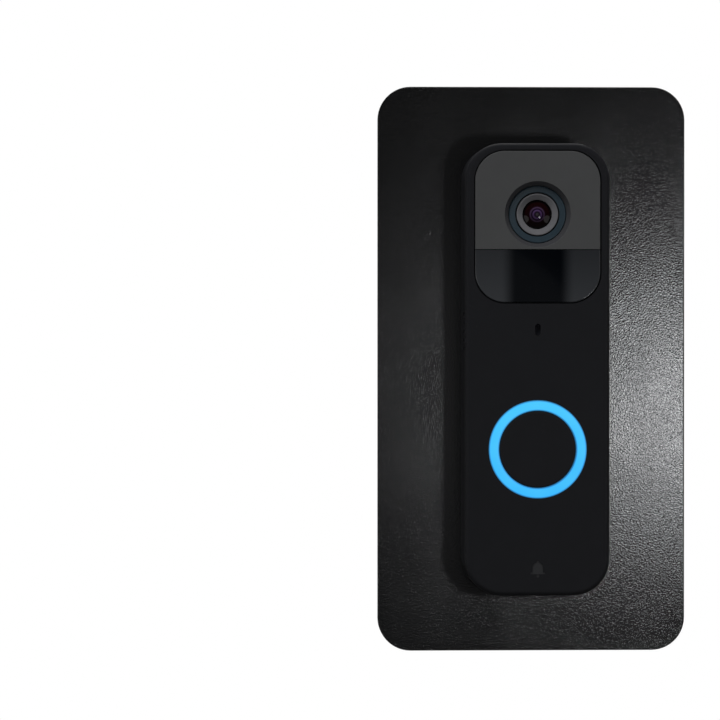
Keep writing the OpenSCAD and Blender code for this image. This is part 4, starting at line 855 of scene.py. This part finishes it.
def makeCell(node, name, nubUp):
    nub, nubHeight, lip, thick, split, segments = cellShape.values()
    low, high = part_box(node)
    length, radius = high.z - low.z, radiusOf(node)
    canTop = length - nubHeight
    bead = [(radius - 0.9 * mm, 0), (radius - 0.5 * mm, 0.08 * mm), (radius - 0.12 * mm, 0.45 * mm),
            (radius - 0.06 * mm, lip)]
    can = [(0, 0), bead[0], (radius - 0.7 * mm, 0.12 * mm), *bead[1:]]
    can += [(across, canTop - up) for across, up in reversed(bead)]
    can += [(nub + 0.25 * mm, canTop - 0.1 * mm), (nub, canTop), (nub, length - 0.15 * mm),
            (nub - 0.2 * mm, length), (0, length)]
    form = bmesh.new()
    base = Vector(((low.x + high.x) / 2, (low.y + high.y) / 2, 0))
    spinOutline(form, can, base, segments, 0, True)
    bands = (lip * 0.6, canTop * split, 1), (canTop * split, canTop - lip * 0.6, 2)
    for start, end, material in bands:
        sleeve = [(radius - thick, start), (radius, start + thick), (radius, end), (radius - thick, end)]
        spinOutline(form, sleeve, base, segments, material, True)
    turn = Matrix.Translation((0, 0, low.z))
    if not nubUp:
        turn = Matrix.Translation((0, base.y * 2, high.z)) @ Matrix.Rotation(math.pi, 4, "X")
    bmesh.ops.transform(form, matrix=turn, verts=form.verts)
    return turnedObject(name, form, slotMaterials["nickel"], slotMaterials["cell_wrap"], wrapBand)


for node, name, nubUp in (("battery_left", "cellLeft", True), ("battery_right", "cellRight", False)):
    place(makeCell(node, name, nubUp), "doorbell", "cell_wrap", node)
print("turned pieces ready")


# grown pieces: geometry node trees with named inputs
def newGrower(name, inputs):
    tree = bpy.data.node_groups.new(name, "GeometryNodeTree")
    for label, kind in [("Places", "Geometry"), *inputs, ("Material", "Material")]:
        tree.interface.new_socket(name=label, in_out="INPUT", socket_type="NodeSocket" + kind)
    tree.interface.new_socket(name="Geometry", in_out="OUTPUT", socket_type="NodeSocketGeometry")
    return tree, tree.nodes.new("NodeGroupInput").outputs, tree.nodes.new("NodeGroupOutput").inputs


def geo(tree, kind, inputs=None, output=0, **settings):
    return addNode(tree, "GeometryNode" + kind, inputs, **settings).outputs[output]


def joinAll(tree, *geometries):
    node = tree.nodes.new("GeometryNodeJoinGeometry")
    for geometry in geometries:
        tree.links.new(geometry, node.inputs[0])
    return node.outputs[0]


def vectorOf(tree, x=0.0, y=0.0, z=0.0):
    return addNode(tree, "ShaderNodeCombineXYZ", {"X": x, "Y": y, "Z": z}).outputs[0]


def setDown(tree, given, end, piece, turn, roll=None):
    # one copy on every place, turned, made real and painted
    copies = geo(tree, "InstanceOnPoints", {"Points": given["Places"], "Instance": piece, "Rotation": turn})
    if roll is not None:
        copies = geo(tree, "RotateInstances", {"Instances": copies, "Rotation": roll, "Local Space": True})
    real = geo(tree, "RealizeInstances", {"Geometry": copies})
    painted = geo(tree, "SetMaterial", {"Geometry": real, "Material": given["Material"]})
    tree.links.new(painted, end["Geometry"])


def grow(name, tree, points, values, smoothAngle=30):
    start = bpy.data.meshes.new(name + "Places")
    start.from_pydata([tuple(p) for p in points], [], [])
    holder = addObject(name + "Places", start)
    modifier = holder.modifiers.new("grow", "NODES")
    modifier.node_group = tree
    for item in tree.interface.items_tree:
        if item.in_out == "INPUT" and item.name in values:
            modifier[item.identifier] = values[item.name]
    view = bpy.context.evaluated_depsgraph_get()
    mesh = bpy.data.meshes.new_from_object(holder.evaluated_get(view), depsgraph=view)
    mesh.name = name
    holder.modifiers.remove(modifier)
    bpy.data.objects.remove(holder)
    form = bmesh.new()
    form.from_mesh(mesh)
    return finishMesh(name, mesh, form, 2e-8, smoothAngle)


# wood screws: countersunk head with a cross, plain neck and shank, rolled thread, point
screwShape = {"Head Radius": 3.4 * mm, "Head Height": 1.5 * mm, "Neck Radius": 2.0 * mm, "Neck Length": 0.6 * mm,
              "Shank Radius": 1.75 * mm, "Shank Length": 4.8 * mm, "Core Radius": 1.25 * mm, "Pitch": 1.6 * mm,
              "Thread Length": 14.0 * mm, "Point Length": 2.0 * mm, "Point Radius": 0.1 * mm,
              "Cross Width": 0.8 * mm, "Cross Depth": 1.2 * mm, "Seed": 7}


def screwGrower():
    inputs = [(label, "Int" if label == "Seed" else "Float") for label in screwShape]
    tree, given, end = newGrower("woodScrews", inputs)
    low, pieces = 0.0, []
    stack = (("Head Height", "Head Radius", "Neck Radius"), ("Neck Length", "Neck Radius", "Neck Radius"),
             ("Shank Length", "Shank Radius", "Shank Radius"), ("Thread Length", "Core Radius", "Core Radius"),
             ("Point Length", "Core Radius", "Point Radius"))
    for height, topRadius, bottomRadius in stack:
        cone = geo(tree, "MeshCone", {"Vertices": 40, "Radius Top": given[topRadius],
                                      "Radius Bottom": given[bottomRadius], "Depth": given[height]}, "Mesh")
        low = minus(tree, low, given[height])
        pieces.append(geo(tree, "Transform", {"Geometry": cone, "Translation": vectorOf(tree, z=low)}))
        if height == "Thread Length":
            tip = low
    barSize = vectorOf(tree, given["Head Radius"], given["Cross Width"], times(tree, given["Cross Depth"], 2.0))
    bar = geo(tree, "MeshCube", {"Size": barSize}, "Mesh")
    bars = [geo(tree, "Transform", {"Geometry": bar, "Rotation": (0, 0, turn)}) for turn in (0, math.pi / 2)]
    cross = joinAll(tree, *bars)
    pieces[0] = geo(tree, "MeshBoolean", {"Mesh 1": pieces[0], "Mesh 2": cross}, operation="DIFFERENCE")
    turns = over(tree, given["Thread Length"], given["Pitch"])
    spiral = geo(tree, "CurveSpiral", {"Resolution": 28, "Rotations": turns, "Start Radius": given["Core Radius"],
                                       "End Radius": given["Core Radius"], "Height": given["Thread Length"]})
    upright = geo(tree, "SetCurveNormal", {"Curve": spiral}, mode="Z_UP")
    ridgeHigh = minus(tree, given["Shank Radius"], given["Core Radius"])
    ridge = geo(tree, "CurvePrimitiveCircle", {"Resolution": 4, "Radius": ridgeHigh}, "Curve")
    ridge = geo(tree, "Transform", {"Geometry": ridge, "Scale": (1, 0.6, 1)})
    thread = geo(tree, "CurveToMesh", {"Curve": upright, "Profile Curve": ridge, "Fill Caps": True})
    pieces.append(geo(tree, "Transform", {"Geometry": thread, "Translation": vectorOf(tree, z=tip)}))
    angle = addNode(tree, "FunctionNodeRandomValue", {"Seed": given["Seed"], "Max": 2 * math.pi}, data_type="FLOAT")
    roll = vectorOf(tree, z=angle.outputs["Value"])
    setDown(tree, given, end, joinAll(tree, *pieces), (math.pi / 2, 0, 0), roll)
    return tree


def screwPlaces():
    low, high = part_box("wall_screws")
    reach = screwShape["Head Radius"]
    across, top, bottom = high.x - reach, high.z - reach, low.z + reach
    return [(side * across, low.y, height) for side in (-1, 1) for height in (top, bottom)]


screws = grow("wallScrews", screwGrower(), screwPlaces(), {**screwShape, "Material": slotMaterials["zinc_screw"]})
place(screws, "wall_mount", "zinc_screw", "wall_screws")

# woven cloth and gauze: two families of threads that pass over and under each other
clothShape = {"Pitch": 0.4 * mm, "Thread Radius": 0.05 * mm, "Wave": 0.045 * mm, "Clip Radius": 1.0}
gauzeShape = {"Pitch": 0.36 * mm, "Thread Radius": 0.045 * mm, "Wave": 0.04 * mm}
portShadeMembraneLook = {"colour": (0.10, 0.105, 0.14), "pitch": 0.00012}


def threadFamily(tree, given, turned):
    run, spread = (given["Width"], given["Length"]) if turned else (given["Length"], given["Width"])
    half, halfSpread = times(tree, run, 0.5), times(tree, spread, 0.5)
    line = geo(tree, "CurvePrimitiveLine", {"Start": vectorOf(tree, y=times(tree, half, -1.0)),
                                            "End": vectorOf(tree, y=half)})
    count = mathNode(tree, "FLOOR", over(tree, spread, given["Pitch"]))
    first = minus(tree, times(tree, given["Pitch"], 0.5), halfSpread)
    row = geo(tree, "MeshLine", {"Count": count, "Offset": vectorOf(tree, given["Pitch"]),
                                 "Start Location": vectorOf(tree, first)})
    threads = geo(tree, "InstanceOnPoints", {"Points": row, "Instance": line})
    threads = geo(tree, "RealizeInstances", {"Geometry": threads})
    threads = geo(tree, "ResampleCurve", {"Curve": threads, "Length": times(tree, given["Pitch"], 0.25)},
                  mode="LENGTH")
    if turned:
        threads = geo(tree, "Transform", {"Geometry": threads, "Rotation": (0, 0, math.pi / 2)})
    at = geo(tree, "InputPosition")
    turn = over(tree, math.pi, given["Pitch"])
    waves = [mathNode(tree, "SINE", times(tree, partsOf(tree, at)[side], turn)) for side in ("X", "Y")]
    lift = times(tree, times(tree, *waves), times(tree, given["Wave"], -1.0 if turned else 1.0))
    waved = geo(tree, "SetPosition", {"Geometry": threads, "Offset": vectorOf(tree, z=lift)})
    far = addNode(tree, "ShaderNodeVectorMath", {0: at}, operation="LENGTH").outputs["Value"]
    outside = addNode(tree, "FunctionNodeCompare", {"A": far, "B": given["Clip Radius"]}, operation="GREATER_THAN")
    return geo(tree, "DeleteGeometry", {"Geometry": waved, "Selection": outside.outputs[0]}, domain="POINT")


def clothGrower():
    sizes = ["Width", "Length", "Pitch", "Thread Radius", "Wave", "Clip Radius"]
    tree, given, end = newGrower("wovenPatch", [(label, "Float") for label in sizes] + [("Turn", "Rotation")])
    families = [threadFamily(tree, given, turned) for turned in (False, True)]
    section = geo(tree, "CurvePrimitiveCircle", {"Resolution": 4, "Radius": given["Thread Radius"]}, "Curve")
    cloth = geo(tree, "CurveToMesh", {"Curve": joinAll(tree, *families), "Profile Curve": section, "Fill Caps": True})
    setDown(tree, given, end, cloth, given["Turn"])
    return tree


def makeCloth():
    tree, slot = clothGrower(), "mesh_cloth"
    low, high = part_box("speaker_mesh")
    spots = [(side * (high.x - 0.1 * mm), (low.y + high.y) / 2, (low.z + high.z) / 2) for side in (-1, 1)]
    cloth = grow("speakerCloth", tree, spots, {**clothShape, "Width": high.z - low.z, "Length": high.y - low.y,
                 "Turn": (0, math.pi / 2, 0), "Material": slotMaterials[slot]}, 60)
    place(cloth, "doorbell", slot, "speaker_mesh")
    radius, centre = radiusOf("mic_mesh"), middle("mic_mesh")
    gauze = grow("micGauze", tree, [centre], {**gauzeShape, "Width": 2 * radius, "Length": 2 * radius,
                 "Clip Radius": radius - 0.08 * mm, "Turn": (math.pi / 2, 0, 0), "Material": slotMaterials[slot]}, 60)
    place(gauze, "doorbell", slot, "mic_mesh")
    # the membrane closes the port behind the gauze; its dark bluish colour is painted shade for the port
    back, _ = depths("mic_mesh")
    membrane = [(0, back), (radius, back), (radius, back + 0.02 * mm), (0, back + 0.02 * mm)]
    portShade = wovenCloth("microphoneMembrane", portShadeMembraneLook)
    place(turnedPiece("micMembrane", membrane, centre * Vector((1, 0, 1)), portShade, 48), "doorbell", slot)


makeCloth()
print("grown pieces ready")
